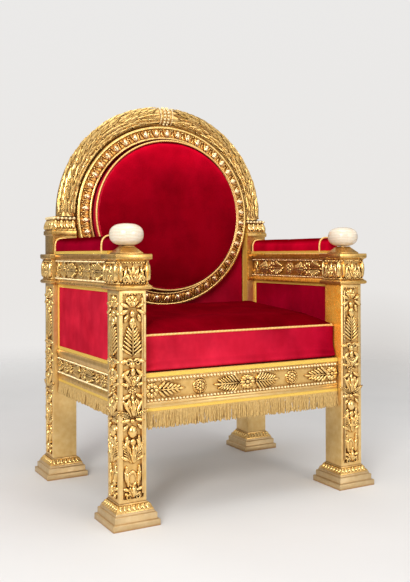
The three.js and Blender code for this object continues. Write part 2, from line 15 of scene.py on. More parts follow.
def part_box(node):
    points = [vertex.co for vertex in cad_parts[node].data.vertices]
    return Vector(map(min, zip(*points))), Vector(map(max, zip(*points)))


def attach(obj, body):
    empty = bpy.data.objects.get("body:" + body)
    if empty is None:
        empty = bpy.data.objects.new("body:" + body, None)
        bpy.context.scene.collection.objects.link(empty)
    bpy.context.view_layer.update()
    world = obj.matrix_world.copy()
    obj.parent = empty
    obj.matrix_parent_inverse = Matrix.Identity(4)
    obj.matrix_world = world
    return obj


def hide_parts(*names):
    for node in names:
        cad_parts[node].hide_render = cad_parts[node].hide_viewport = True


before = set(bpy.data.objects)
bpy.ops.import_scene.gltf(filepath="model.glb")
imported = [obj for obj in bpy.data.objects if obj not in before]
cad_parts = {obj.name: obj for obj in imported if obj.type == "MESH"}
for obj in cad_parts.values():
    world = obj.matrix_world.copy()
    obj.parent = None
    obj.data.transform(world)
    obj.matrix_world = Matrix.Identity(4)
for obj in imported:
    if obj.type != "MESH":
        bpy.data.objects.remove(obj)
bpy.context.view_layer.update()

# %% [markdown]
# The camera stands in front of the left arm, as high as the arms' tops, and looks level at the
# throne, so that upright edges stay upright. A downward shift of its frame takes in the feet.

# %% Camera
MM = 0.001
CAMERA_PLACE = (-1.2458, -2.2684, 0.735)
CAMERA_TURN = math.radians(-29.24)
CAMERA_ROLL = math.radians(0.15)
CAMERA_LENS = 48.7
CAMERA_SHIFT = -0.0636

camera_data = bpy.data.cameras.new("camera")
camera_data.sensor_width = 36
camera_data.lens = CAMERA_LENS
camera_data.shift_y = CAMERA_SHIFT
camera = bpy.data.objects.new("camera", camera_data)
camera.location = CAMERA_PLACE
camera.rotation_euler = (math.radians(90), CAMERA_ROLL, CAMERA_TURN)
bpy.context.scene.collection.objects.link(camera)
bpy.context.scene.camera = camera
bpy.context.scene.view_settings.view_transform = "Standard"
print("camera", tuple(camera.location))

# %% [markdown]
# The tools of the bench. Each helper does one thing that a hand would do in Blender: take a
# piece, pick faces by where they are, pull them out, scale them about a point, add a modifier
# and apply it. `choose` picks by place and normal, because a script can't click.

# %% Bench tools: take, edit, choose
def take(piece):
    """Makes this piece the only selected one, and the active one."""
    bpy.ops.object.select_all(action="DESELECT")
    piece.select_set(True)
    bpy.context.view_layer.objects.active = piece
    return piece


@contextmanager
def edit(piece, kind="FACE"):
    """Edit mode on one piece, with nothing selected at the start."""
    take(piece)
    bpy.ops.object.mode_set(mode="EDIT")
    bpy.ops.mesh.select_mode(type=kind)
    bpy.ops.mesh.select_all(action="DESELECT")
    yield
    bpy.ops.object.mode_set(mode="OBJECT")


def choose(test, kind="faces"):
    """Selects, in edit mode, the faces, edges or verts that pass the test."""
    bpy.ops.mesh.select_all(action="DESELECT")
    mesh = bpy.context.edit_object.data
    shape = bmesh.from_edit_mesh(mesh)
    for item in [item for item in getattr(shape, kind) if test(item)]:
        item.select_set(True)
    bmesh.update_edit_mesh(mesh)


SQUARE_ON = 0.9


def choose_side(direction):
    """Selects the faces that look in this direction, or nearly so."""
    choose(lambda face: face.normal.dot(Vector(direction)) > SQUARE_ON)


def select_all():
    bpy.ops.mesh.select_all(action="SELECT")


def work_on(kind):
    bpy.ops.mesh.select_mode(type=kind)


def push(offset):
    bpy.ops.mesh.extrude_region_move(TRANSFORM_OT_translate={"value": offset})


def inset(border, depth=0):
    bpy.ops.mesh.inset(thickness=border, depth=depth)


def fill():
    """Closes all that is drawn to one face."""
    select_all()
    bpy.ops.mesh.edge_face_add()


def face_outwards():
    select_all()
    bpy.ops.mesh.normals_make_consistent(inside=False)


def scale_about(centre, factors):
    bpy.ops.transform.resize(value=factors, center_override=centre)


# %% Bench tools: modifiers, joining, copying
def apply_modifier(piece, kind, **settings):
    take(piece)
    bpy.ops.object.modifier_add(type=kind)
    modifier = piece.modifiers[-1]
    for setting, value in settings.items():
        setattr(modifier, setting, value)
    bpy.ops.object.modifier_apply(modifier=modifier.name)


def smooth(piece, degrees=40):
    take(piece)
    bpy.ops.object.shade_smooth_by_angle(angle=math.radians(degrees))
    return piece


def soften(piece, width, segments=2):
    """Rounds the sharp edges by a small bevel, as sanding and gesso do."""
    apply_modifier(piece, "BEVEL", width=width, segments=segments, limit_method="ANGLE",
                   angle_limit=math.radians(30))
    return smooth(piece)


def joined(pieces, name):
    bpy.ops.object.select_all(action="DESELECT")
    for piece in pieces:
        piece.select_set(True)
    bpy.context.view_layer.objects.active = pieces[0]
    bpy.ops.object.join()
    piece = bpy.context.object
    piece.name = name
    piece.data.name = name
    return piece


def twin(piece, place, name="twin"):
    """A copy with its own mesh, put at this place."""
    other = piece.copy()
    other.data = piece.data.copy()
    other.data.transform(place)
    other.name = name
    bpy.context.scene.collection.objects.link(other)
    return other


def copies(motif, places, name):
    return joined([twin(motif, place) for place in places], name)


def discard(*pieces):
    for piece in pieces:
        bpy.data.objects.remove(piece)


# %% Bench tools: first shapes
def block(name, low, high):
    """A box between two corners, with its place in its mesh."""
    low, high = Vector(low), Vector(high)
    bpy.ops.mesh.primitive_cube_add(size=1, location=(low + high) / 2, scale=high - low)
    piece = bpy.context.object
    bpy.ops.object.transform_apply()
    piece.name = name
    return piece


def disc(name, corners, radius, centre, lean=0):
    """A filled circle, leant from the flat by so many degrees, with its place in its mesh."""
    bpy.ops.mesh.primitive_circle_add(vertices=corners, radius=radius, fill_type="NGON",
                                      location=centre, rotation=(math.radians(lean), 0, 0))
    piece = bpy.context.object
    bpy.ops.object.transform_apply()
    piece.name = name
    return piece


def square_stack(name, x, y, steps):
    """Square steps on top of each other: steps are (half side, height), bottom first."""
    (half, low), (above, high) = steps[:2]
    piece = block(name, (x - half, y - half, low), (x + half, y + half, high))
    with edit(piece):
        choose_side((0, 0, 1))
        scale_about((x, y, high), (above / half, above / half, 1))
        for (before, under), (after, over) in zip(steps[1:], steps[2:]):
            push((0, 0, over - under))
            if after != before:
                scale_about((x, y, over), (after / before, after / before, 1))
    return piece


def chain(name, points):
    """A row of vertices, each pulled out of the one before it."""
    points = [Vector(point) for point in points]
    bpy.ops.mesh.primitive_plane_add(size=MM, location=points[0])
    piece = bpy.context.object
    bpy.ops.object.transform_apply()
    piece.name = name
    with edit(piece, "VERT"):
        select_all()
        bpy.ops.mesh.merge(type="CENTER")
        for before, after in zip(points, points[1:]):
            bpy.ops.mesh.extrude_vertices_move(
                TRANSFORM_OT_translate={"value": after - before})
    return piece


def bar(name, outline, length):
    """An outline filled to a face and pulled out to a bar: length is a vector."""
    piece = chain(name, outline)
    with edit(piece, "VERT"):
        fill()
        work_on("FACE")
        push(length)
        face_outwards()
    return piece


def turned(name, outline, centre, axis, steps, closed=False):
    """An outline spun once round an axis. A closed outline ends where it starts."""
    piece = chain(name, list(outline) + ([outline[0]] if closed else []))
    with edit(piece, "VERT"):
        select_all()
        bpy.ops.mesh.spin(steps=steps, angle=math.tau, center=centre, axis=axis)
        select_all()
        bpy.ops.mesh.remove_doubles(threshold=0.01 * MM)
        face_outwards()
    return piece


def tube(name, points, radius, lay, closed=False):
    """A cord along a path. Its UV runs one unit for each turn of its lay."""
    points = [Vector(point) for point in points]
    path = points + [points[0]] if closed else points
    length = sum((b - a).length for a, b in zip(path, path[1:]))
    piece = chain(name, path)
    if closed:
        with edit(piece, "VERT"):
            select_all()
            bpy.ops.mesh.remove_doubles(threshold=0.01 * MM)
    take(piece)
    bpy.ops.object.convert(target="CURVE")
    curve = bpy.context.object.data
    curve.bevel_depth = radius
    curve.bevel_resolution = 2
    curve.use_fill_caps = True
    bpy.ops.object.convert(target="MESH")
    piece = bpy.context.object
    for corner in piece.data.uv_layers[0].data:
        corner.uv.x *= round(length / lay)
    return smooth(piece, 60)


print("bench tools are ready")

# %% [markdown]
# Gilding. Gold leaf over gesso and red clay is a metal, so its colour is all in its reflection.
# On carving it is burnished. An ambient occlusion node finds the hollows by shape alone, and
# a warm brown is painted into them as shade, so the crests read bright against them.
# Plain faces are matt water gilding: paler, with a wider, softer shine. The other golds are the
# same leaf with light and shade painted in: paled as a painted highlight on beads and on the
# ring's leaves, redder as a painted reflection of the velvet inside the arms and in the ring,
# darker on arms and capitals, pale on the feet, and darker still as painted shade on sunk
# grounds and on the arms' cornice. Small noise breaks all of them up, at the size of a brush
# mark and at the size of a single leaf of gold.

# %% Material helpers
def wire(made, source, target):
    made.node_tree.links.new(source, target)


def plug(made, box, sockets):
    """Sets the sockets of a node. A value that is itself a socket is wired to it."""
    for key, value in sockets.items():
        socket = box.inputs[key.replace("_", " ")]
        if isinstance(value, bpy.types.NodeSocket):
            wire(made, value, socket)
        else:
            socket.default_value = value


def material(name, **sockets):
    made = bpy.data.materials.new(name)
    made.use_nodes = True
    shader = made.node_tree.nodes["Principled BSDF"]
    plug(made, shader, sockets)
    return made, shader


def node(made, kind, **settings):
    """A new node. Settings with a capital are sockets, the others are its properties."""
    new = made.node_tree.nodes.new(kind)
    plug(made, new, {key: value for key, value in settings.items() if key[0].isupper()})
    for key, value in settings.items():
        if not key[0].isupper():
            setattr(new, key, value)
    return new


def object_place(made, scale=(1, 1, 1), turn=(0, 0, 0)):
    """Object coordinates, stretched and turned as asked."""
    place = node(made, "ShaderNodeTexCoord").outputs["Object"]
    mapping = node(made, "ShaderNodeMapping", Vector=place, Scale=scale, Rotation=turn)
    return mapping.outputs["Vector"]


def noise(made, place, scale, detail=3.0, roughness=0.5):
    new = node(made, "ShaderNodeTexNoise", Vector=place, Scale=scale, Detail=detail,
               Roughness=roughness)
    return new.outputs["Fac"]


def ramp(made, source, stops):
    """A colour ramp: stops are (place, colour)."""
    new = node(made, "ShaderNodeValToRGB", Fac=source)
    band = new.color_ramp.elements
    while len(band) < len(stops):
        band.new(0.5)
    for stop, (place, colour) in zip(band, stops):
        stop.position = place
        stop.color = (*colour, 1)
    return new.outputs["Color"]


# The colour sockets of a Mix node, which share their names with its number and vector sockets.
COLOUR_A, COLOUR_B, COLOUR_OUT = 6, 7, 2


def blend(made, factor, first, second, mode="MIX"):
    new = node(made, "ShaderNodeMix", Factor=factor, data_type="RGBA", blend_type=mode)
    wire(made, first, new.inputs[COLOUR_A])
    wire(made, second, new.inputs[COLOUR_B])
    return new.outputs[COLOUR_OUT]


def multiply(made, first, second):
    return blend(made, 1.0, first, second, "MULTIPLY")


def flat_colour(made, colour):
    new = node(made, "ShaderNodeRGB")
    new.outputs[0].default_value = (*colour, 1)
    return new.outputs[0]


def span(made, source, **limits):
    """Maps a number from one range to another, each of them 0..1 unless it says otherwise."""
    return node(made, "ShaderNodeMapRange", Value=source, **limits).outputs["Result"]


def bumps(made, shader, layers):
    """Bump layers, each (height, distance, strength), one on top of the other."""
    normal = None
    for height, distance, strength in layers:
        new = node(made, "ShaderNodeBump", Height=height, Distance=distance, Strength=strength)
        if normal:
            wire(made, normal, new.inputs["Normal"])
        normal = new.outputs["Normal"]
    wire(made, normal, shader.inputs["Normal"])


# %% Gold, burnished and matt
def gold(name, crest, hollow_shade_colour, low_shine, high_shine, reach, metal=0.85):
    """Leaf with two crest colours, a painted shade colour for hollows closer than reach, and its
    roughness.
    """
    made, shader = material(name, Metallic=metal)
    place = object_place(made)
    mottle = ramp(made, noise(made, place, 55), [(0.3, crest[0]), (0.7, crest[1])])
    # Painted shade: the ambient occlusion darkens the hollows to the hollow colour.
    shade = node(made, "ShaderNodeAmbientOcclusion", samples=8, Distance=reach)
    open_air = ramp(made, shade.outputs["AO"], [(0.3, (0, 0, 0)), (0.92, (1, 1, 1))])
    leaf = blend(made, open_air, flat_colour(made, hollow_shade_colour), mottle)
    shine = span(made, noise(made, place, 140), To_Min=low_shine, To_Max=high_shine)
    plug(made, shader, {"Base Color": leaf, "Roughness": shine})
    bumps(made, shader, [(noise(made, place, 90, 2), 1.2 * MM, 0.25),
                         (noise(made, place, 900, 2), 0.2 * MM, 0.3)])
    return made


BURNISHED = gold("burnished gold leaf", ((1.0, 0.72, 0.30), (0.93, 0.57, 0.17)),
                 (0.20, 0.07, 0.011), 0.14, 0.28, 9 * MM)
MATT_GOLD = gold("matt gold leaf", ((0.95, 0.68, 0.30), (0.86, 0.56, 0.20)),
                 (0.34, 0.15, 0.03), 0.24, 0.38, 7 * MM)
# Painted shade: the sunk ground is a darker copy of the leaf.
SHADED_GROUND = gold("gold of the sunk ground, darkened as painted shade", ((0.84, 0.55, 0.20), (0.68, 0.40, 0.12)),
              (0.18, 0.065, 0.011), 0.24, 0.40, 11 * MM)
# Painted highlight: a paler, less metallic leaf that looks lit under any light.
HIGHLIGHT_GOLD = gold("gold paled as a painted highlight", ((1.0, 0.84, 0.50), (0.98, 0.74, 0.36)),
              (0.36, 0.15, 0.03), 0.20, 0.34, 3.0 * MM, 0.4)
# Painted highlight on pale crests, with a red-brown painted shade and velvet reflection in the
# hollows.
HIGHLIT_LEAF_GOLD = gold("gold of the ring's leaves, paled as a painted highlight", ((1.0, 0.80, 0.50), (1.0, 0.68, 0.34)),
              (0.34, 0.10, 0.015), 0.12, 0.20, 4 * MM, 0.85)
# Painted shade: a darker copy of the leaf for the band under the arms' slab.
SHADED = gold("gold of the arms' cornice, darkened as painted shade", ((0.62, 0.32, 0.07), (0.48, 0.22, 0.035)),
              (0.16, 0.05, 0.008), 0.22, 0.36, 9 * MM, 0.7)
DARKER_GOLD = gold("darker gold of arms and capitals", ((0.79, 0.50, 0.17), (0.65, 0.37, 0.09)),
            (0.20, 0.08, 0.015), 0.22, 0.36, 9 * MM)
# Painted reflection: leaf reddened where the velvet would throw its colour on it.
VELVET_GLOW_GOLD = gold("redder gold inside the arms", ((1.0, 0.54, 0.09), (0.96, 0.40, 0.04)),
            (0.30, 0.08, 0.008), 0.20, 0.34, 8 * MM, 0.4)
PALE = gold("pale gold of the feet", ((0.65, 0.48, 0.26), (0.58, 0.40, 0.19)),
            (0.40, 0.17, 0.035), 0.36, 0.50, 9 * MM, 0.7)
LAUREL_GOLD = gold("deep gold of the laurel", ((0.90, 0.61, 0.24), (0.74, 0.46, 0.13)),
                   (0.10, 0.035, 0.005), 0.18, 0.32, 12 * MM)
GOLDS = (BURNISHED, MATT_GOLD, SHADED_GROUND, HIGHLIGHT_GOLD, HIGHLIT_LEAF_GOLD, SHADED, DARKER_GOLD, VELVET_GLOW_GOLD, PALE, LAUREL_GOLD)
print("golds:", ", ".join(made.name for made in GOLDS))

# %% [markdown]
# Velvet. A cut pile is dark when looked at straight and bright at the rims, where the sides of
# the hairs catch the light. The sheen of the shader gives the rim. Pile that has been stroked or
# leant on lies in upright streaks and soft patches, so two noises vary the red. Light and shade
# are also painted into the red: by how far a face looks up, and from one side to the other.

# %% Velvet
def velvet(name, deep, lit, light_by_up, streaky=0.18, far=(1, 1, 1), near=(1, 1, 1)):
    """Cut pile from a deep to a lit red. The next ramp paints light and shade by how far a face
    looks up; `far` and `near` paint light and shade at the right and at the left."""
    made, shader = material(name, Roughness=0.9, Specular_IOR_Level=0.0, Sheen_Roughness=0.35,
                            Sheen_Tint=(1.0, 0.015, 0.06, 1))
    streaks = noise(made, object_place(made, (15, 15, 8), (0.0, 0.3, 0.0)), 1.0, 4, 0.6)
    patches = noise(made, object_place(made), 9.0, 4)
    base = ramp(made, streaks, [(0.5 - 0.5 * streaky, deep), (0.5 + 0.5 * streaky, lit)])
    even = flat_colour(made, [(low + high) / 2 for low, high in zip(deep, lit)])
    base = blend(made, streaky, even, base)
    worn = ramp(made, patches, [(0.36, (0.70, 0.64, 0.67)), (0.62, (1, 1, 1))])
    stroked = multiply(made, base, worn)
    normal = node(made, "ShaderNodeNewGeometry").outputs["Normal"]
    up = node(made, "ShaderNodeSeparateXYZ", Vector=normal).outputs["Z"]
    # Painted light and shade by how far a face looks up.
    painted_by_up = multiply(made, stroked, ramp(made, up, light_by_up))
    # Painted light and shade from the left of a piece to its right.
    across = node(made, "ShaderNodeSeparateXYZ", Vector=object_place(made)).outputs["X"]
    left_to_right = span(made, across, From_Min=-0.42, From_Max=0.42)
    side_light = ramp(made, left_to_right, [(0.1, near), (0.95, far)])
    lift = span(made, up, From_Min=0.3, From_Max=0.7, To_Min=0.4, To_Max=0.06)
    plug(made, shader, {"Base Color": multiply(made, painted_by_up, side_light), "Sheen Weight": lift})
    bumps(made, shader, [(streaks, 1.5 * MM, 0.08),
                         (noise(made, object_place(made), 1400, 1), 0.3 * MM, 0.25)])
    return made


# Painted shade on faces that look up, for the seat; painted light on faces that look up, for the
# back pad.
SEAT_TOP_SHADE = [(0.3, (1, 1, 1)), (0.74, (0.33, 0.03, 0.12))]
BACK_TOP_LIGHT = [(0.02, (0.40, 0.30, 0.36)), (0.42, (1, 1, 1))]
# The seat velvet is darker towards its right, as painted shade.
VELVET = velvet("crimson velvet", (0.48, 0.006, 0.02), (0.86, 0.034, 0.075), SEAT_TOP_SHADE, 0.45,
                (0.57, 0.06, 0.41))
# Painted shade: the back pad's face is a darker, deeper red copy of the velvet.
SHADED_BACK_VELVET = velvet("crimson velvet, back, darkened as painted shade", (0.52, 0.0005, 0.010), (0.74, 0.003, 0.028), BACK_TOP_LIGHT)
# The arm velvet is darker at the left and redder at the right, as painted light and shade.
ARM_VELVET = velvet("crimson velvet, arms", (0.44, 0.004, 0.02), (0.80, 0.02, 0.06), SEAT_TOP_SHADE, 0.45,
                    (1.0, 0.15, 0.60), (0.48, 0.05, 0.40))
print("velvet:", VELVET.name, "and", SHADED_BACK_VELVET.name)

# %% [markdown]
# Metal thread. Braid, cord and fringe are silk wound with gilt thread: yellower and softer than
# gold leaf. The braid has a fine diagonal weave, the cord shows its twist along its own UV, and
# the fringe is paler because each strand is a loose coil full of light.

# %% Braid, cord and fringe
def thread(name, light, dark, pattern, metal=0.35, shine=0.42, relief=0.6):
    """Gilt thread: pattern(made) gives a height from 0, the gaps, to 1, the threads."""
    made, shader = material(name, Metallic=metal, Roughness=shine)
    height = pattern(made)
    wire(made, ramp(made, height, [(0.1, dark), (0.75, light)]), shader.inputs["Base Color"])
    bumps(made, shader, [(height, 0.5 * MM, relief)])
    return made


def weave(made):
    """Two sets of diagonal threads, crossed."""
    sets = []
    for turn in ((0.6, 0.8, 0.785), (-0.6, -0.8, -0.785)):
        wave = node(made, "ShaderNodeTexWave", Vector=object_place(made, turn=turn), Scale=180.0,
                    Distortion=0.4)
        sets.append(wave.outputs["Color"])
    return blend(made, 0.5, *sets)


def twist(made):
    """Slanting strands that follow the cord's own UV."""
    place = node(made, "ShaderNodeUVMap").outputs["UV"]
    wave = node(made, "ShaderNodeTexWave", Vector=place, Scale=0.62, bands_direction="DIAGONAL")
    return wave.outputs["Color"]


def strands(made):
    return noise(made, object_place(made, (500, 500, 120)), 1.0, 2)


BRAID = thread("woven gold braid", (1.0, 0.70, 0.14), (0.66, 0.38, 0.04), weave, metal=0.2)
CORD = thread("gold piping cord", (0.95, 0.61, 0.21), (0.86, 0.50, 0.14), twist, relief=0.25)
FRINGE = thread("bullion fringe", (0.74, 0.51, 0.19), (0.33, 0.18, 0.045), strands,
                metal=0.2, shine=0.5)
print("threads:", BRAID.name, CORD.name, FRINGE.name)

# %% [markdown]
# Ivory white. The knobs are turned and polished, a warm white with faint growth rings and a few
# hair cracks. A little light goes in and comes out again, so there is some subsurface.

# %% Ivory and webbing
def ivory():
    made, shader = material("polished ivory white", Roughness=0.24, Subsurface_Weight=0.15,
                            Subsurface_Radius=(0.012, 0.008, 0.005), Subsurface_Scale=0.3,
                            Coat_Weight=0.25)
    rings = node(made, "ShaderNodeTexWave", Vector=object_place(made), Scale=36.0,
                 Distortion=5.0, Detail=3.0, bands_direction="Z")
    tone = ramp(made, rings.outputs["Fac"], [(0.0, (0.75, 0.64, 0.49)), (1.0, (0.83, 0.73, 0.59))])
    crack = node(made, "ShaderNodeTexVoronoi", Vector=object_place(made, (1, 1, 0.35)),
                 Scale=60.0, feature="DISTANCE_TO_EDGE")
    hair = ramp(made, crack.outputs["Distance"], [(0.0, (0.82, 0.76, 0.66)), (0.012, (1, 1, 1))])
    wire(made, multiply(made, tone, hair), shader.inputs["Base Color"])
    bumps(made, shader, [(noise(made, object_place(made), 300, 2), 0.2 * MM, 0.1)])
    return made


def jute():
    made, shader = material("jute webbing", Roughness=0.85)
    height = weave(made)
    tone = ramp(made, height, [(0.1, (0.16, 0.11, 0.06)), (0.8, (0.40, 0.31, 0.19))])
    wire(made, tone, shader.inputs["Base Color"])
    bumps(made, shader, [(height, 0.8 * MM, 0.6)])
    return made


IVORY, JUTE = ivory(), jute()
print("whites and linings:", IVORY.name, JUTE.name)


# %% Putting a finished piece on the body
def dress(piece, *materials):
    piece.data.materials.clear()
    for made in materials:
        piece.data.materials.append(made)
    return piece


def repaint(piece, made, chosen):
    """Gives the chosen faces one more material."""
    piece.data.materials.append(made)
    for face in piece.data.polygons:
        if chosen(face):
            face.material_index = len(piece.data.materials) - 1
    return piece


def hand_in(piece, slot, *nodes):
    """A finished piece rides on the body. It stands for its CAD nodes, if it has any."""
    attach(piece, "root")
    if nodes:
        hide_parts(*nodes)
    print(piece.name, len(piece.data.polygons), "faces for", ", ".join(nodes) or "a trim")


HANDS = (("left", -1), ("right", 1))


# %% [markdown]
# The carver's motifs. All the relief on the throne is put together from a few forms, modelled
# once, flat, with their foot at the origin, their tip along +Y and their height along +Z: a leaf
# lobe, a laurel leaf with a midrib, a bead and a scroll. Larger ornaments, such as flowers,
# fronds and acanthus, are groups of these. Each form has only a few faces, because it comes back
# hundreds of times.

# %% Motifs: a place in the flat
def mm(*sizes):
    """These sizes, given in millimetres, in metres."""
    return tuple(size * MM for size in sizes)


def at(across, along, size, turn=0.0, lift=0.0):
    """Puts a motif at a place in the flat. Turn is in degrees, to the left of upright."""
    scale = Matrix.Diagonal((*size, 1))
    turned_to = Matrix.Rotation(math.radians(turn), 4, "Z")
    return Matrix.Translation((across, along, lift)) @ turned_to @ scale


# %% Motifs: lobe, laurel, bead
def pillow(name, corners, steps, tip):
    """A pointed leaf: a flat disc raised in steps of (height, scale), with its end drawn out."""
    piece = disc(name, corners, 0.5, (0, 0.5, 0))
    with edit(piece):
        select_all()
        for height, scale in steps:
            push((0, 0, height))
            scale_about((0, 0.46, 0), (scale, 0.5 + scale / 2, 1))
        work_on("VERT")
        choose(lambda vert: vert.co.y > 0.93, "verts")
        bpy.ops.transform.translate(value=(0, tip, 0))
        choose(lambda vert: vert.co.y < 0.2, "verts")
        scale_about((0, 0.1, 0), (0.7, 1, 1))
    return piece


LOBE = pillow("lobe", 8, [(0.5, 0.9), (0.35, 0.75), (0.15, 0.4)], 0.12)
smooth(LOBE, 80)

LAUREL = pillow("laurel", 10, [(0.3, 0.95), (0.25, 0.85), (0.1, 0.6)], 0.16)
with edit(LAUREL):
    select_all()
    bpy.ops.mesh.bisect(plane_co=(0, 0, 0), plane_no=(1, 0, 0))
    work_on("VERT")
    choose(lambda vert: abs(vert.co.x) < 0.01 and vert.co.z > 0.6 and vert.co.y < 0.95, "verts")
    bpy.ops.transform.translate(value=(0, 0, 0.35))
smooth(LAUREL, 20)

bpy.ops.mesh.primitive_uv_sphere_add(segments=8, ring_count=5, radius=0.5)
BEAD = bpy.context.object
BEAD.name = "bead"
with edit(BEAD):
    choose(lambda face: face.calc_center_median().z < -0.3)
    bpy.ops.mesh.delete(type="FACE")
    work_on("VERT")
    choose(lambda vert: vert.is_boundary, "verts")
    bpy.ops.mesh.edge_face_add()
smooth(BEAD, 80)
bpy.ops.mesh.primitive_torus_add(major_segments=16, minor_segments=5, major_radius=0.38,
                                 minor_radius=0.12)
LOOP = bpy.context.object
LOOP.name = "loop"
smooth(LOOP, 80)
print("lobe", len(LOBE.data.polygons), "laurel", len(LAUREL.data.polygons),
      "bead", len(BEAD.data.polygons))


# %% Motifs: scrolls
SCROLL_STEPS = 17
SCROLL_TURN = math.radians(27)
SCROLL_SHRINK = 0.93


def scroll(name, hand):
    """A volute that starts upright and curls to one side, pulled out step by step."""
    piece = block(name, (-0.10, 0, 0), (0.10, 0.1, 1))
    heading = 0.0
    middle = Vector((0, 0.1, 0.5))
    turn = SCROLL_TURN * hand
    with edit(piece):
        choose_side((0, 1, 0))
        for step in range(SCROLL_STEPS):
            heading += turn
            reach = 0.185 * SCROLL_SHRINK ** step
            move = Vector((-math.sin(heading), math.cos(heading), 0)) * reach
            middle = middle + move
            push(move)
            bpy.ops.transform.rotate(value=-turn, orient_axis="Z", center_override=middle)
            scale_about(middle, (SCROLL_SHRINK, SCROLL_SHRINK, 0.97))
    apply_modifier(piece, "BEVEL", width=0.04, segments=1, limit_method="ANGLE",
                   angle_limit=math.radians(60))
    return smooth(piece, 60)


SCROLL_LEFT, SCROLL_RIGHT = scroll("scroll left", 1), scroll("scroll right", -1)
print("scroll", len(SCROLL_LEFT.data.polygons), "faces")


# %% Motifs: flowers, fronds and acanthus
def flower(name, petals, eye=0.34):
    """Petals round a raised eye, one unit across."""
    leaves = [at(0, 0, (0.30, 0.36, 0.8), 360 * i / petals) @ Matrix.Translation((0, 0.36, 0))
              for i in range(petals)]
    under = [at(0, 0, (0.2, 0.4, 0.45), 360 * (i + 0.5) / petals) @ Matrix.Translation((0, 0.3, 0))
             for i in range(petals)]
    ring = copies(LOBE, leaves + under, name)
    centre = copies(BEAD, [at(0, 0, (eye, eye, 1.5), lift=0.3)], name + " eye")
    return joined([ring, centre], name)


def frond(name, pairs, spread, length, wide=0.10):
    """A palm leaf: pairs of lobes on a stem, shorter and steeper towards the tip."""
    places = [at(0, 0, (0.09, 0.95, 1.1)), at(0, 0.72, (0.13, 0.28, 1))]
    for i in range(pairs):
        share = i / pairs
        reach = length * (1 - 0.45 * share)
        for side in (-1, 1):
            lean = side * (spread - 22 * share)
            places.append(at(0, 0.04 + 0.72 * share, (wide, reach, 1), lean))
    return copies(LOBE, places, name)


def fan(name, spread, lobes):
    """An acanthus or palmette: a fan of lobes, with three smaller, higher ones before it."""
    places = []
    for i in range(lobes):
        share = 2 * i / (lobes - 1) - 1
        reach = 1 - 0.38 * abs(share) ** 1.5
        places.append(at(0.05 * share, 0, (0.30, reach, 0.75), -share * spread))
    for share in (-1, 0, 1):
        places.append(at(0, 0, (0.2, 0.55, 1.25), -share * spread * 0.5))
    return copies(LOBE, places, name)


FLOWER = flower("flower", 6)
DAISY = flower("daisy", 8, 0.28)
PALM = frond("palm", 7, 58, 0.44)
SPRIG = frond("sprig", 5, 50, 0.42, 0.13)
ACANTHUS = fan("acanthus", 66, 7)
TULIP = fan("tulip", 34, 5)
print("flower", len(FLOWER.data.polygons), "palm", len(PALM.data.polygons),
      "acanthus", len(ACANTHUS.data.polygons))


# %% Motifs: putting a design together
def compose(name, design):
    """Joins motifs into one flat relief. A row is (motif, across, along, size, turn) in mm."""
    return joined([twin(motif, at(across * MM, along * MM, mm(*size), turn))
                   for motif, across, along, size, turn in design], name)


def mirrored(rows):
    """Each row and its mirror image on the other side of the middle line."""
    other = {SCROLL_LEFT: SCROLL_RIGHT, SCROLL_RIGHT: SCROLL_LEFT}
    both = []
    for motif, across, along, size, turn in rows:
        both.append((motif, across, along, size, turn))
        both.append((other.get(motif, motif), -across, along, size, -turn))
    return both


def face_frame(origin, out):
    """The flat's across, along and height on an upright face that looks this way."""
    out = Vector(out)
    up = Vector((0, 0, 1))
    across = up.cross(out)
    turn = Matrix((across, up, out)).transposed().to_4x4()
    return Matrix.Translation(origin) @ turn


# %% [markdown]
# The four posts. Each is a square shaft with a sunk panel on its outward faces, a capital of two
# mouldings with a carved block between them, and on top either a small pyramid for the knob
# or, at the back, a second short block and a leaf collar that the arch springs from. The shaft
# is a block whose faces are inset and pushed in. The rest is a stack of square steps.

# %% Measures of the posts
foot_low, foot_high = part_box("foot_rear_left")
POST_X = -(foot_low.x + foot_high.x) / 2
POST_Y = (foot_low.y + foot_high.y) / 2
FOOT_TOP = foot_high.z
HALF = 40 * MM
INNER_X = POST_X - HALF
CUT_X = INNER_X + 0.4 * MM
BAY = POST_Y - HALF
CAP_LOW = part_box("arm_rail_left")[0].z
SEAT_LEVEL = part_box("seat_cushion")[0].z
ARM_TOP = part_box("arm_rail_left")[1].z
PANEL_EDGE = 12 * MM
PANEL_SINK = 3.5 * MM
PANEL_BEAD = 1.2 * MM
BLOCK_LOW, BLOCK_HIGH = 655 * MM, 712 * MM
BLOCK_HALF = 44 * MM
print("posts at", round(POST_X, 4), round(POST_Y, 4), "arm top", round(ARM_TOP, 4))

# %% The climbing ornament of a post panel
PANEL_DESIGN = [
    (LOOP, 0, 607, (36, 36, 22), 0),
    (TULIP, 0, 592, (40, 34, 9), 0),
    (BEAD, 0, 606, (9, 20, 9), 0),
    (BEAD, 0, 574, (17, 24, 18), 0),
    (LOBE, 0, 566, (18, 26, 9), 180),
    (PALM, 0, 456, (80, 94, 8), 0),
    (BEAD, 0, 436, (20, 26, 19), 0),
    (LOBE, 0, 430, (14, 26, 10), 180),
    (TULIP, 0, 376, (34, 42, 9), 0),
    (FLOWER, 0, 366, (24, 24, 7), 0),
    (TULIP, 0, 294, (44, 62, 9), 0),
    (LOBE, 0, 300, (10, 44, 12), 0),
    (BEAD, 0, 284, (16, 16, 16), 0),
    (BEAD, 0, 254, (29, 40, 22), 0),
    (LOBE, 0, 238, (18, 20, 9), 180),
    (TULIP, 0, 168, (40, 58, 9), 0),
    (LOBE, 0, 172, (9, 50, 12), 0),
    (LOOP, 0, 126, (30, 52, 26), 0),
    (TULIP, 0, 78, (30, 34, 10), 0),
    (LOBE, 0, 78, (10, 32, 13), 0),
]
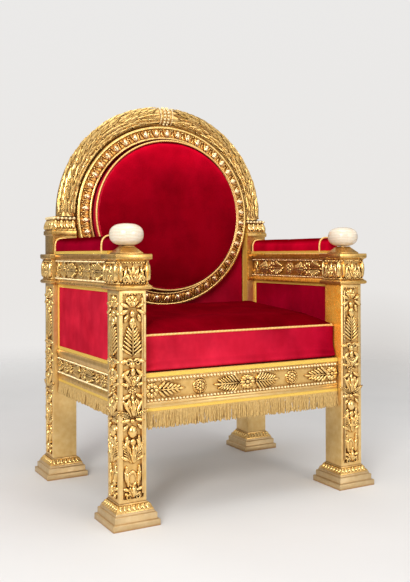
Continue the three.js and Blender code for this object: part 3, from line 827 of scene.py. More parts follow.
PANEL_DESIGN += mirrored([
    (LOBE, 12, 586, (12, 30, 9), -118),
    (LOBE, 10, 590, (11, 28, 10), -62),
    (LOBE, 15, 574, (11, 24, 8), -160),
    (BEAD, 20, 556, (10, 10, 14), 0),
    (SCROLL_RIGHT, 5, 548, (20, 22, 8), -150),
    (SCROLL_RIGHT, 3, 446, (24, 26, 9), -30),
    (LOBE, 12, 448, (12, 26, 9), -100),
    (LOBE, 8, 424, (12, 34, 9), -128),
    (SPRIG, 7, 410, (34, 40, 8), -164),
    (LOBE, 5, 384, (11, 38, 10), -38),
    (LOBE, 9, 380, (10, 26, 9), -76),
    (LOBE, 6, 358, (11, 30, 9), -118),
    (LOBE, 8, 346, (10, 30, 9), -150),
    (LOBE, 5, 296, (10, 52, 10), -27),
    (SPRIG, 5, 292, (34, 46, 8), -62),
    (LOBE, 6, 288, (12, 28, 9), -98),
    (LOBE, 14, 276, (11, 22, 9), -138),
    (LOBE, 16, 246, (9, 22, 8), -170),
    (LOBE, 9, 236, (12, 30, 9), -142),
    (SPRIG, 6, 176, (36, 60, 8), -24),
    (LOBE, 12, 196, (9, 36, 9), -14),
    (LOBE, 9, 178, (11, 28, 9), -64),
    (LOBE, 18, 166, (8, 26, 7), -176),
    (LOBE, 14, 104, (9, 44, 9), -4),
    (LOBE, 19, 116, (7, 34, 7), -6),
    (SCROLL_RIGHT, 6, 84, (20, 22, 9), -42),
    (LOBE, 8, 96, (10, 22, 9), -70),
    (BEAD, 19, 88, (12, 12, 14), 0),
])
PANEL_DESIGN += [(BEAD, across, 627, (7.5, 7.5, 9), 0) for across in range(-24, 25, 8)]
LOBE_FULLER = 1.25
REST_FULLER = 1.05


def fuller(motif, across, along, size, turn):
    """The same row with a wider motif, so that the panel is well filled."""
    wide, long, high = size
    wide *= LOBE_FULLER if motif is LOBE else REST_FULLER
    return motif, across, along, (wide, long, high), turn


PANEL_DESIGN = [fuller(*row) for row in PANEL_DESIGN]
PANEL_CARVING = dress(compose("panel carving", PANEL_DESIGN), BURNISHED)
print("panel carving:", len(PANEL_DESIGN), "motifs,", len(PANEL_CARVING.data.polygons), "faces")

# %% The capital's carving
CAPITAL_DESIGN = [(ACANTHUS, 0, 658, (42, 48, 9), 0), (TULIP, 0, 660, (22, 40, 11), 0)]
CAPITAL_DESIGN += mirrored([
    (SCROLL_RIGHT, 15, 664, (26, 30, 9), 0),
    (LOBE, 29, 658, (12, 42, 9), 10),
    (LOBE, 38, 658, (13, 52, 11), 0),
    (LOBE, 25, 690, (11, 20, 8), -60),
])
CAPITAL_DESIGN += [(BEAD, across, height, (7.4, 7.4, 9), 0)
                   for across in range(-40, 41, 8) for height in (656, 712)]
CAPITAL_CARVING = dress(compose("capital carving", CAPITAL_DESIGN), BURNISHED)
print("capital carving:", len(CAPITAL_CARVING.data.polygons), "faces")


# %% The shaft, with its sunk panels
def sink_panel(piece, out):
    """Sinks a panel into one face, with a small bead raised round it."""
    with edit(piece):
        choose_side(out)
        inset(PANEL_EDGE - 2.5 * MM)
        inset(0.8 * MM, PANEL_BEAD)
        inset(0.9 * MM, -PANEL_BEAD)
        inset(0.8 * MM, -PANEL_SINK)


def gild(piece, sunk, plain=MATT_GOLD):
    """Plain gold, with the ground gold on the faces that are sunk, darker there as painted shade.
    """
    return repaint(dress(piece, plain), SHADED_GROUND, sunk)


def on_block(face):
    """Whether a face lies between the mouldings of the capitals and arms."""
    return BLOCK_LOW < face.center.z < BLOCK_HIGH


def shaft(x, y, outs):
    piece = block("shaft", (x - HALF, y - HALF, FOOT_TOP), (x + HALF, y + HALF, CAP_LOW + MM))
    for out in outs:
        sink_panel(piece, out)
    soften(piece, 0.7 * MM)
    with edit(piece):
        choose_side((-1 if x > 0 else 1, 0, 0))
        bpy.ops.mesh.bisect(plane_co=(x, y, SEAT_LEVEL), plane_no=(0, 0, 1))
    middle = Vector((x, y, 0))

    def sunk(face):
        return any((face.center - middle).dot(Vector(out)) < HALF - 2 * MM
                   and face.normal.dot(Vector(out)) > SQUARE_ON for out in outs)

    # The sunk panels take the darker ground gold, as painted shade.
    return gild(piece, sunk)


# %% Whole posts
CAPITAL = [(40, 638), (49, 638.5), (52, 640), (53.5, 643), (53.5, 647.5), (51, 650), (48, 652),
           (46.5, 654), (44, 655), (44, 712), (46, 714), (46.5, 717), (49, 719), (51, 720),
           (53.5, 723), (53.5, 733), (52.5, 735.4), (30, 735.6)]
PYRAMID = [(35, 735), (35, 739), (33, 740.5), (17, 756), (17, 758)]
UPPER_BLOCK = [(40, 735), (40, 797), (42, 799), (44.5, 800.5), (44.5, 812), (42, 814.5), (36, 815)]


def in_metres(steps):
    return [mm(*step) for step in steps]


def post(name, side, front, stacks, outs, capital_outs):
    """A post with carved panels on the sides `outs`, and a capital carved on `capital_outs`."""
    x = side * POST_X
    y = -POST_Y if front else POST_Y
    parts = []
    for steps in [CAPITAL, *stacks]:
        stack = soften(square_stack("stack", x, y, in_metres(steps)), 0.5 * MM)
        if not front:
            with edit(stack):
                select_all()
                bpy.ops.mesh.bisect(plane_co=(side * CUT_X, y, 0), plane_no=(side, 0, 0),
                                    use_fill=True, clear_inner=True)
            smooth(stack)
        # The faces of the carved block take the darker ground gold, as painted shade.
        parts.append(gild(stack, lambda face: on_block(face) and abs(face.normal.z) < 0.1, DARKER_GOLD))
    for out in outs:
        way = Vector(out)
        panel = Vector((x, y, 0)) + way * (HALF - PANEL_SINK)
        parts.append(twin(PANEL_CARVING, face_frame(panel, out)))
    for out in capital_outs:
        block_face = Vector((x, y, 0)) + Vector(out) * BLOCK_HALF
        parts.append(twin(CAPITAL_CARVING, face_frame(block_face, out)))
    parts.append(shaft(x, y, outs))
    whole = joined(parts, name)
    # Painted reflection of the velvet on the inner faces above the seat.
    nearest, furthest = (INNER_X - MM, INNER_X + 2 * MM) if front else (0, INNER_X + 17 * MM)
    return repaint(whole, VELVET_GLOW_GOLD, lambda face: face.center.z > SEAT_LEVEL
                   and side * face.normal.x < 0.5 and nearest < side * face.center.x < furthest)


FORWARD = (0, -1, 0)
for hand, side in HANDS:
    outward = (side, 0, 0)
    front_post = post(f"carved_front_post_{hand}", side, True, [PYRAMID], [FORWARD, outward],
                      [FORWARD, outward, (-side, 0, 0)])
    hand_in(front_post, "gold_leaf", f"post_front_{hand}")

# %% [markdown]
# The collar on a rear post is a square bell of leaves under a row of beads. The leaves lean
# outwards at the foot, so each is turned on its face before it is set on the bell. The collar is
# cut off flat at the inner side, where the framed back stands against it.

# %% Rear posts with their collars
COLLAR = [(42, 815), (41, 820), (37, 832), (33, 844), (32, 848), (34.5, 850), (36, 853),
          (36, 857), (34, 859.5), (31, 861.5)]
COLLAR_LEAN = math.radians(-17)
LEAVES_LOW, LEAVES_OUT = 816 * MM, 42 * MM
BEADS_LOW, BEADS_OUT = 855 * MM, 35.5 * MM


def collar_carving(x, y, out):
    """Leaves that lean in towards the top, and beads above them, on one side."""
    way = Vector(out)
    lean = Matrix.Rotation(COLLAR_LEAN, 4, "X")
    face = face_frame(Vector((x, y, LEAVES_LOW)) + way * LEAVES_OUT, out)
    leaves = [face @ lean @ at(across * MM, 0, mm(19, 34, 9))
              for across in (-30, -10, 10, 30)]
    between = [face @ lean @ at(across * MM, 2 * MM, mm(9, 30, 6))
               for across in (-20, 0, 20)]
    row = face_frame(Vector((x, y, BEADS_LOW)) + way * BEADS_OUT, out)
    beads = [row @ at(across * MM, 0, mm(12.5, 11, 14))
             for across in (-34, -20.5, -7, 7, 20.5, 34)]
    # The beads take the paler gold, as a painted highlight.
    parts = [dress(copies(LOBE, leaves + between, "collar leaves"), BURNISHED),
             dress(copies(BEAD, beads, "collar beads"), HIGHLIGHT_GOLD)]
    return joined(parts, "collar side")


for hand, side in HANDS:
    outward = (side, 0, 0)
    rear_post = post(f"carved_rear_post_{hand}", side, False, [UPPER_BLOCK, COLLAR], [outward],
                     [outward])
    sides = [collar_carving(side * POST_X, POST_Y, out) for out in (FORWARD, outward, (0, 1, 0))]
    rear_post = joined([rear_post, *sides], rear_post.name)
    hand_in(rear_post, "gold_leaf", f"post_rear_{hand}")

# %% [markdown]
# The feet are plain stepped blocks with a carved leaf moulding above. One foot is made round the
# origin and copied to the four corners, each copy with a mesh of its own.

# %% Feet
FOOT = [(69, 0), (69, 16.5), (66, 18), (62.5, 18.5), (62.5, 34.5), (60, 36), (57, 36.5), (57, 41),
        (55, 42), (54.5, 46), (51, 50), (46, 54), (42.5, 58), (42, 63.5)]
CUSHION_LOW, CUSHION_HIGH = 43 * MM, 62 * MM
CUSHION_OUT = 54.5 * MM
CUSHION_LEAN = math.radians(-38)
foot = soften(square_stack("foot", 0, 0, in_metres(FOOT)), 0.8 * MM)
# The foot's sunk band takes the darker ground gold, as painted shade.
foot = gild(foot, lambda face: CUSHION_LOW < face.center.z < CUSHION_HIGH, PALE)
foot_leaves = []
for quarter in range(4):
    turn = Matrix.Rotation(math.radians(90 * quarter), 4, "Z")
    lean = Matrix.Rotation(CUSHION_LEAN, 4, "X")
    side_frame = turn @ face_frame((0, -CUSHION_OUT, CUSHION_LOW + 0.5 * MM), FORWARD) @ lean
    for i in range(7):
        across = (i - 3) * 14.5 * (1 - 0.03 * abs(i - 3)) * MM
        foot_leaves.append(side_frame @ at(across, 0, mm(13, 19, 4.5)))
    for i in range(6):
        across = (i - 2.5) * 14 * MM
        foot_leaves.append(side_frame @ at(across, 4 * MM, mm(6, 15, 3)))
foot = joined([foot, dress(copies(LOBE, foot_leaves, "foot leaves"), BURNISHED)], "foot")
for row, y in (("front", -POST_Y), ("rear", POST_Y)):
    for hand, side in HANDS:
        place = Matrix.Translation((side * POST_X, y, 0))
        hand_in(twin(foot, place, f"stepped_foot_{row}_{hand}"), "gold_leaf", f"foot_{row}_{hand}")
discard(foot)

# %% [markdown]
# The rails and arms are planed mouldings: one outline, pulled out to a long bar. Their sunk
# friezes carry the same few motifs, laid out from the middle to both ends, between rows of beads.

# %% Frieze designs
def bead_rows(half_length, rows, size, pitch):
    count = int(half_length / pitch)
    return [(BEAD, i * pitch, height, (size, size, 2 * size), 0)
            for height in rows for i in range(-count, count + 1)]


FRONT_FRIEZE = compose("front frieze", [
    (DAISY, 0, 0, (52, 44, 9), 0),
    *mirrored([
        (PALM, 24, 0, (74, 88, 8), -90),
        (FLOWER, 160, 0, (30, 30, 8), 0),
        (LOOP, 160, 0, (48, 46, 20), 0),
        (SPRIG, 298, 0, (72, 88, 8), 90),
        (DAISY, 313, 0, (46, 44, 9), 0),
    ]),
    *mirrored([(BEAD, 160 + 18.5 * math.sin(a), 17.5 * math.cos(a), (6, 6, 12), 0)
               for a in [math.tau * i / 16 for i in range(16)]]),
    *bead_rows(334, (-27.5, 29), 9.0, 11.2),
])
SIDE_FRIEZE = compose("side frieze", [
    (DAISY, 0, 0, (42, 39, 8), 0),
    *mirrored([
        (PALM, 20, 0, (62, 74, 7), -90),
        (FLOWER, 112, 0, (28, 30, 8), 0),
        (DAISY, 158, 0, (42, 38, 8), 0),
        (SPRIG, 230, 0, (60, 48, 7), 90),
    ]),
    *bead_rows(230, (-22.8, 22.8), 7.2, 9.2),
])
ARM_FRIEZE = compose("arm frieze", [
    (FLOWER, 0, -1, (34, 36, 9), 0),
    (LOOP, 0, -1, (52, 50, 20), 0),
    *mirrored([
        (SPRIG, 90, -1, (74, 60, 8), 90),
        (DAISY, 106, -1, (50, 46, 9), 0),
        (PALM, 124, -1, (74, 66, 8), -90),
        (ACANTHUS, 196, -1, (44, 26, 8), -90),
        (SCROLL_LEFT, 222, -18, (22, 26, 7), 20),
    ]),
    *bead_rows(230, (-29.2, 27.3), 6.8, 9.2),
])
# The bead rows take the paler gold, as a painted highlight.
for design, bead_line, leaf in ((FRONT_FRIEZE, 23, BURNISHED), (SIDE_FRIEZE, 19, LAUREL_GOLD),
                                (ARM_FRIEZE, 23, LAUREL_GOLD)):
    repaint(dress(design, leaf), HIGHLIGHT_GOLD, lambda face: abs(face.center.y) > bead_line * MM)
    print(design.name, len(design.data.polygons), "faces")


# %% Seat rails
def lengthwise(points, start, out):
    """Places an (out, height) outline in mm at a start point, facing out."""
    out = Vector(out)
    return [Vector(start) + out * reach * MM + Vector((0, 0, height * MM))
            for reach, height in points]


front_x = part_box("seat_rail_front")[1].x
FRONT_FACE = -BAY - HALF * 2 + 20 * MM
FRONT_RAIL = [(-40, 309.5), (3.5, 309.5), (4.5, 311), (4.5, 316), (3, 318), (5, 320), (5.5, 323),
              (4, 326), (1.5, 327.5), (1.5, 333.5), (3.5, 334.5), (3.5, 336), (0, 336.5),
              (0, 380), (3.5, 380.5), (3.5, 382), (1.5, 383), (1.5, 391), (3, 392), (3, 393.5),
              (0.9, 394), (0.9, 406.7),
              (-40, 406.7)]
FRONT_FRIEZE_Z = 358 * MM
outline = lengthwise(FRONT_RAIL, (-front_x, FRONT_FACE, 0), FORWARD)
front_rail = soften(bar("front rail", outline, (2 * front_x, 0, 0)), 0.4 * MM, 1)
# The sunk frieze takes the darker ground gold, as painted shade.
gild(front_rail, lambda face: 0.33 < face.center.z < 0.386 and face.normal.y < -0.5)
relief = twin(FRONT_FRIEZE, face_frame((0, FRONT_FACE, FRONT_FRIEZE_Z), FORWARD))
front_rail = joined([front_rail, relief], "carved_front_rail")
hand_in(front_rail, "gold_leaf", "seat_rail_front")

SIDE_FACE = POST_X + HALF - 20 * MM
SIDE_RAIL = [(-25, 328), (3.5, 328), (4, 330), (4, 345), (1.5, 347), (1.5, 351.5), (0, 352.5),
             (0, 391.5), (1.5, 392.5), (1.5, 397), (4, 399), (4.5, 405), (6.5, 407), (7, 412),
             (6.5, 420), (4, 424), (-25, 424)]
SIDE_FRIEZE_Z = 372 * MM
for hand, side in HANDS:
    outline = lengthwise(SIDE_RAIL, (side * SIDE_FACE, -BAY + 0.3 * MM, 0), (side, 0, 0))
    rail = soften(bar("side rail", outline, (0, 2 * BAY - 0.6 * MM, 0)), 0.4 * MM, 1)
    # The sunk frieze and the band above it take the darker ground gold, as painted shade.
    gild(rail, lambda face: 0.35 < face.center.z < 0.394 and abs(face.normal.x) > 0.5
         or 0.398 < face.center.z < 0.423, DARKER_GOLD)
    relief = twin(SIDE_FRIEZE, face_frame((side * SIDE_FACE, 0, SIDE_FRIEZE_Z), (side, 0, 0)))
    hand_in(joined([rail, relief], f"carved_side_rail_{hand}"), "gold_leaf", f"seat_rail_{hand}")

# %% Back rail
back_low, back_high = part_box("seat_rail_back")
back_rail = block("plain_back_rail", back_low, back_high)
with edit(back_rail):
    choose_side((0, 1, 0))
    inset(12 * MM)
    inset(1.5 * MM, -2 * MM)
soften(dress(back_rail, MATT_GOLD), 0.8 * MM)
hand_in(back_rail, "gold_leaf", "seat_rail_back")

# %% Arm rails
ARM_FRIEZE_Z = 686 * MM
ARM_FRIEZE_TOP = 716 * MM
ARM_INNER, ARM_OUTER = 363, 405.5
ARM_MIDDLE = (ARM_INNER + ARM_OUTER) / 2
CORNICE_LOW, CORNICE_HIGH = 716.5 * MM, 732.5 * MM
ARM_HALF = [(0, 638), (5, 638.5), (7.5, 641), (8, 645), (6.5, 649), (3, 651), (2, 652.5),
            (2, 661), (0, 662.5), (0, 709), (2, 710.5), (2, 716), (5, 718), (8, 719.5),
            (9, 722), (9, 733), (8, 735.6)]
for hand, side in HANDS:
    outer = [(ARM_OUTER + reach, height) for reach, height in ARM_HALF]
    inner = [(ARM_INNER - reach, height) for reach, height in reversed(ARM_HALF)]
    start = (0, -BAY - 10 * MM, 0)
    outline = lengthwise(outer + inner, start, (side, 0, 0))
    rail = soften(bar("arm rail", outline, (0, 2 * BAY + 20 * MM, 0)), 0.4 * MM, 1)
    # The frieze faces take the darker ground gold, as painted shade.
    gild(rail, lambda face: BLOCK_LOW < face.center.z < ARM_FRIEZE_TOP
         and abs(face.normal.x) > 0.5, DARKER_GOLD)
    # Painted reflection of the velvet on the arm's inner side.
    repaint(rail, VELVET_GLOW_GOLD, lambda face: side * face.center.x < ARM_MIDDLE * MM)
    # Painted shade on the cornice and on the inner frieze ground.
    repaint(rail, SHADED, lambda face: CORNICE_LOW < face.center.z < CORNICE_HIGH or on_block(face)
            and side * face.center.x < ARM_MIDDLE * MM and abs(face.normal.x) > 0.5)
    outside = face_frame((side * ARM_OUTER * MM, 0, ARM_FRIEZE_Z), (side, 0, 0))
    inside = face_frame((side * ARM_INNER * MM, 0, ARM_FRIEZE_Z), (-side, 0, 0))
    inner_relief = twin(ARM_FRIEZE, inside)
    inner_relief.data.materials[0] = BURNISHED
    # On the inside, the beads take the gold with a painted highlight.
    inner_relief.data.materials[1] = HIGHLIT_LEAF_GOLD
    parts = [rail, twin(ARM_FRIEZE, outside), inner_relief]
    hand_in(joined(parts, f"carved_arm_{hand}"), "gold_leaf", f"arm_rail_{hand}")

# %% [markdown]
# The knobs are turned on a lathe: half their outline is spun round an upright axis. They are
# flatter than a ball, with a small flat at the top and another at the foot, which sits on the
# pyramid.

# %% Knobs
knob_low, knob_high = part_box("knob_left")
knob_middle = (knob_low + knob_high) / 2
knob_half = (knob_high - knob_low) / 2
profile = []
KNOB_STEPS = 16
KNOB_FLAT, KNOB_FULL = 0.88, 0.74
for i in range(KNOB_STEPS + 1):
    angle = -math.pi / 2 + math.pi * i / KNOB_STEPS
    rise = math.copysign(abs(math.sin(angle)) ** KNOB_FLAT, math.sin(angle))
    radius = 0 if i in (0, KNOB_STEPS) else knob_half.x * math.cos(angle) ** KNOB_FULL
    profile.append((radius, 0, knob_half.z * rise))
knob = turned("knob", profile, (0, 0, 0), (0, 0, 1), 40)
apply_modifier(knob, "SUBSURF", levels=1, render_levels=1)
smooth(dress(knob, IVORY), 80)
for hand, side in HANDS:
    place = Matrix.Translation((side * POST_X, -POST_Y, knob_middle.z))
    hand_in(twin(knob, place, f"ivory_knob_{hand}"), "ivory", f"knob_{hand}")
discard(knob)

# %% [markdown]
# The arch is half a ring of laurel. Its body is a rounded outline, spun through half a turn and
# then pressed a little lower than wide. The leaves lie on it in nine rows, all pointing up to a
# beaded band at the crown, with berries where their tips part.

# %% Arch body
ring_low, ring_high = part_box("medallion_ring")
RING_Z = (ring_low.z + ring_high.z) / 2
RING_X = (ring_high.x - ring_low.x) / 2
SQUASH = (ring_high.z - ring_low.z) / (ring_high.x - ring_low.x)
arch_low, arch_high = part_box("laurel_arch")
ARCH_Y = (arch_low.y + arch_high.y) / 2
ARCH_DEEP = (arch_high.y - arch_low.y) / 2
ARCH_MIDDLE = (RING_X + arch_high.x) / 2
ARCH_WIDE = (arch_high.x - RING_X) / 2
ARCH_SQUASH = (arch_high.z - RING_Z) / arch_high.x
SWELL_WIDE = ARCH_WIDE - 3 * MM
SWELL_DEEP = ARCH_DEEP * 0.9 - 4 * MM
print("arch middle radius", round(ARCH_MIDDLE, 4), "squash", round(ARCH_SQUASH, 4))

section = [(ARCH_MIDDLE - ARCH_WIDE - 5 * MM, ARCH_DEEP * 0.3),
           (ARCH_MIDDLE - ARCH_WIDE - 5 * MM, -ARCH_DEEP * 0.3),
           (ARCH_MIDDLE - ARCH_WIDE + 2 * MM, -ARCH_DEEP * 0.46)]
for i in range(1, 10):
    angle = math.pi * i / 10
    section.append((ARCH_MIDDLE - SWELL_WIDE * math.cos(angle),
                    -ARCH_DEEP * 0.1 - SWELL_DEEP * math.sin(angle)))
section += [(ARCH_MIDDLE + ARCH_WIDE - 3 * MM, ARCH_DEEP * 0.7),
            (ARCH_MIDDLE + ARCH_WIDE - 8 * MM, ARCH_DEEP), (ARCH_MIDDLE - ARCH_WIDE, ARCH_DEEP)]
arch = chain("arch", [(x, ARCH_Y + y, RING_Z) for x, y in section])
with edit(arch, "VERT"):
    fill()
    bpy.ops.mesh.spin(steps=72, angle=math.pi, center=(0, ARCH_Y, RING_Z), axis=(0, 1, 0))
    face_outwards()
    work_on("FACE")
    choose(lambda face: face.normal.z < -0.99)
    push((0, 0, arch_low.z - RING_Z))
    work_on("VERT")
    choose(lambda vert: vert.co.z > RING_Z - MM, "verts")
    scale_about((0, ARCH_Y, RING_Z), (1, 1, ARCH_SQUASH))
# The arch's body between the leaves is the darker ground gold, as painted shade.
smooth(dress(arch, SHADED_GROUND), 50)
print("arch body top", round(max(vert.co.z for vert in arch.data.vertices), 4))


# %% Arch leaves, berries and crown band
def on_arch(angle, round_section, lift, rise_to_crown):
    """A frame on the arch: across, along towards the crown, and out of its surface."""
    radius = ARCH_MIDDLE + SWELL_WIDE * math.sin(round_section)
    here = Vector((radius * math.cos(angle), 0, radius * math.sin(angle) * ARCH_SQUASH))
    along = Vector((-math.sin(angle), 0, math.cos(angle) * ARCH_SQUASH)).normalized()
    away = Vector((along.z, 0, -along.x))
    backward = Vector((0, 1, 0)) * math.cos(round_section)
    out = (away * math.sin(round_section) - backward).normalized()
    if rise_to_crown < 0:
        along = -along
    forward = ARCH_DEEP * 0.1 + SWELL_DEEP * math.cos(round_section)
    place = here + Vector((0, ARCH_Y - forward, RING_Z))
    across = along.cross(out)
    turn = Matrix((across, along, out)).transposed().to_4x4()
    return Matrix.Translation(place + out * lift) @ turn


TIERS = 20
CROWN = 0.072
LEAF_LONG = 46 * MM
LEAF_WIDE = 12.5 * MM
LEAF_HIGH = 5 * MM
LEAF_SPLAY = 9
ARCH_ROWS = (-87, -65, -43, -21, 0, 21, 43, 65, 87)
leaf_places, berry_places = [], []
lean_out = Matrix.Rotation(math.radians(2.5), 4, "X")
dice = random.Random(3)
last = math.pi / 2 - CROWN - LEAF_LONG / ARCH_MIDDLE
for side in (-1, 1):
    for number, row in enumerate(ARCH_ROWS):
        for tier in range(TIERS):
            angle = last * max(0, tier - 0.5 * (number % 2)) / (TIERS - 1)
            if side < 0:
                angle = math.pi - angle
            here = on_arch(angle, math.radians(row), -0.5 * MM, side)
            splay = dice.uniform(-LEAF_SPLAY, LEAF_SPLAY)
            splay -= 6 * side * math.copysign(number % 2, row)
            high = LEAF_HIGH * math.cos(math.radians(row) * 0.55)
            size = (LEAF_WIDE * dice.uniform(0.85, 1.1), LEAF_LONG * dice.uniform(0.85, 1), high)
            leaf_places.append(here @ lean_out @ at(0, 0, size, splay))
            if (tier + number) % 3 == 0 and abs(row) < 80:
                berry = on_arch(angle, math.radians(row + 10), 2 * MM, side)
                berry_places.append(berry @ at(0, 0, mm(7, 7, 9)))
leaves = copies(LAUREL, leaf_places, "arch leaves")
berries = copies(BEAD, berry_places, "arch berries")
print(len(leaf_places), "laurel leaves,", len(berry_places), "berries")


def crown_row(name, offset, rows, lift, size):
    """Beads in a row round the arch, a little to one side of its crown."""
    return copies(BEAD, [on_arch(math.pi / 2 + offset, math.radians(row), lift, 1) @ at(0, 0, size)
                         for row in rows], name)


band_parts = [crown_row("crown fillet", offset, range(-90, 91, 15), 0, mm(14, 4, 11))
              for offset in (-0.062, 0.062)]
band_parts += [crown_row("crown beads", offset, range(-88, 89, 22), MM, mm(10.5, 10.5, 14))
               for offset in (-0.020, 0.020)]
# The crown band's beads take the paler gold, as a painted highlight.
arch_carving = joined([dress(joined([leaves, berries], "arch leaves"), LAUREL_GOLD),
                       dress(joined(band_parts, "crown band"), HIGHLIGHT_GOLD)], "arch carving")
hand_in(joined([arch, arch_carving], "laurel_arch_carved"), "gold_leaf", "laurel_arch")

# %% [markdown]
# The medallion ring frames the round back. Its outline has a plain fillet outside, a hollow that
# holds a leaf-and-dart pattern, and a smooth round fillet at the opening. The outline is closed
# and spun, then pressed to the same shape as the arch. The leaves point to the middle.

# %% Ring body
RING_FRONT = ring_low.y
RING_BACK = ring_high.y
RING_WIDE = 52
RING_SECTION = [(0, 11), (1.5, 8.5), (4, 7.5), (8, 7.5), (10.5, 9), (12, 11.5), (20, 9), (30, 8),
                (39, 7.5), (40.5, 8), (41, 3), (43, 0.8), (46, 0), (49, 1.2), (51.5, 5)]
outline = [(0, RING_BACK)]
outline += [(inward * MM, RING_FRONT + depth * MM) for inward, depth in RING_SECTION]
outline += [(RING_WIDE * MM, RING_BACK)]
ring = turned("ring", [(RING_X - inward, y, RING_Z) for inward, y in outline],
              (0, 0, RING_Z), (0, 1, 0), 128, closed=True)
with edit(ring, "VERT"):
    select_all()
    scale_about((0, 0, RING_Z), (1, 1, SQUASH))
smooth(ring, 45)


def ring_inset(place):
    """How far a place lies inside the ring's outer edge."""
    return RING_X - math.hypot(place.x, (place.z - RING_Z) / SQUASH)


# Painted reflection of the velvet in the ring's hollow.
repaint(dress(ring, LAUREL_GOLD), VELVET_GLOW_GOLD, lambda face: face.normal.y < -0.5
        and 11 * MM < ring_inset(face.center) < 40.5 * MM)


# %% Ring leaves and darts
def on_ring(angle, depth, y):
    """A frame on the ring: across, along towards the middle, and out to the front."""
    spot = Vector(((RING_X - depth) * math.cos(angle), y,
                   RING_Z + (RING_X * SQUASH - depth) * math.sin(angle)))
    inward = Vector((-math.cos(angle) * SQUASH, 0, -math.sin(angle))).normalized()
    out = Vector((0, -1, 0))
    turn = Matrix((inward.cross(out), inward, out)).transposed().to_4x4()
    return Matrix.Translation(spot) @ turn


RING_LEAVES = 46
egg_places, rim_places, dart_places, dot_places = [], [], [], []
for i in range(RING_LEAVES):
    angle = math.tau * (i + 0.5) / RING_LEAVES
    between = math.tau * i / RING_LEAVES
    egg = on_ring(angle, 12.5 * MM, RING_FRONT + 9 * MM)
    egg_places.append(egg @ at(0, -0.5 * MM, mm(22, 29, 13)))
    for side in (-1, 1):
        rim_places.append(egg @ at(side * 16 * MM, -MM, mm(5.5, 30, 9), side * 22))
    dart = on_ring(between, 12 * MM, RING_FRONT + 10 * MM)
    dart_places.append(dart @ at(0, 7 * MM, mm(6.5, 21, 8)))
    dot_places.append(dart @ at(0, 3 * MM, mm(8, 8, 12)))
# The ring's leaves take the gold with a painted highlight.
ring_leaves = dress(copies(LOBE, egg_places, "ring leaves"), HIGHLIT_LEAF_GOLD)
ring_rims = dress(copies(LOBE, rim_places + dart_places, "ring rims"), BURNISHED)
ring_dots = dress(copies(BEAD, dot_places, "ring dots"), BURNISHED)
ring_carving = joined([ring_leaves, ring_rims, ring_dots], "ring carving")
hand_in(joined([ring, ring_carving], "medallion_ring_carved"), "gold_leaf", "medallion_ring")

# %% [markdown]
# Upholstery. Every pad starts as a plain closed form of the right size, is remeshed to an even
# net, and is then blown up a little as cloth, pinned where it rests on wood. The pressure rounds
# the faces, pulls the sides in between the corners, and leaves the small uneven dents of real
# stuffing. How far a point may move is capped, so the pad stays in its place.

# %% Stuffing a pad
CLOTH_FRAMES = 20


def plump(piece, net, pressure, most, held, cover=VELVET, calm=6):
    """Remeshes a pad and blows it up as cloth. `held` says which points stay put."""
    apply_modifier(piece, "REMESH", mode="VOXEL", voxel_size=net, use_smooth_shade=True)
    apply_modifier(piece, "SMOOTH", factor=0.5, iterations=4)
    before = [vert.co.copy() for vert in piece.data.vertices]
    pins = piece.vertex_groups.new(name="held")
    pins.add([vert.index for vert in piece.data.vertices if held(vert.co)], 1.0, "REPLACE")
    take(piece)
    bpy.ops.object.modifier_add(type="CLOTH")
    cloth = piece.modifiers[-1]
    cloth.settings.quality = 5
    cloth.settings.use_pressure = True
    cloth.settings.uniform_pressure_force = pressure
    cloth.settings.effector_weights.gravity = 0
    cloth.settings.vertex_group_mass = "held"
    cloth.collision_settings.use_collision = False
    cloth.point_cache.frame_start = 1
    cloth.point_cache.frame_end = CLOTH_FRAMES
    for number in range(1, CLOTH_FRAMES + 1):
        bpy.context.scene.frame_set(number)
    bpy.ops.object.modifier_apply(modifier=cloth.name)
    furthest = 0.0
    for vert, start in zip(piece.data.vertices, before):
        move = vert.co - start
        furthest = max(furthest, move.length)
        if move.length > most:
            vert.co = start + move * (most / move.length)
    bpy.context.scene.frame_set(1)
    print(piece.name, "moved up to", round(furthest / MM, 1), "mm, capped at", most / MM)
    apply_modifier(piece, "SMOOTH", factor=0.5, iterations=calm)
    apply_modifier(piece, "SUBSURF", levels=1, render_levels=1)
    smooth(piece, 80)
    return dress(piece, cover)


# %% The round back pad
pad_low, pad_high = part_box("back_pad")
PAD_X = (pad_high.x - pad_low.x) / 2
PAD_EDGE = pad_high.y - 62 * MM
PAD_STEPS = ((1.0, 0), (0.96, 5), (0.86, 8), (0.68, 7), (0.45, 4), (0.2, 1))
back_pad = disc("round_back_pad", 96, PAD_X, (0, pad_high.y - MM, RING_Z), 90)
with edit(back_pad):
    select_all()
    scale_about((0, 0, RING_Z), (1, 1, (pad_high.z - pad_low.z) / (2 * PAD_X)))
    push((0, PAD_EDGE - pad_high.y, 0))
    for (before, _), (after, forward) in zip(PAD_STEPS, PAD_STEPS[1:]):
        push((0, -forward * MM, 0))
        scale_about((0, 0, RING_Z), (after / before, 1, after / before))
    face_outwards()
plump(back_pad, 6.5 * MM, 3.0, 9 * MM, lambda place: place.y > PAD_EDGE - 2 * MM,
      cover=SHADED_BACK_VELVET, calm=20)
# The pad's sides take the lighter velvet, as painted light.
repaint(back_pad, VELVET, lambda face: abs(face.normal.y) < 0.8)
hand_in(back_pad, "velvet", "back_pad")

# %% The piping and the seam of the back pad
def ring_path(rx, rz, y, steps):
    """Points of an ellipse round the middle of the back, at one depth."""
    return [(rx * math.cos(math.tau * i / steps), y, RING_Z + rz * math.sin(math.tau * i / steps))
            for i in range(steps)]


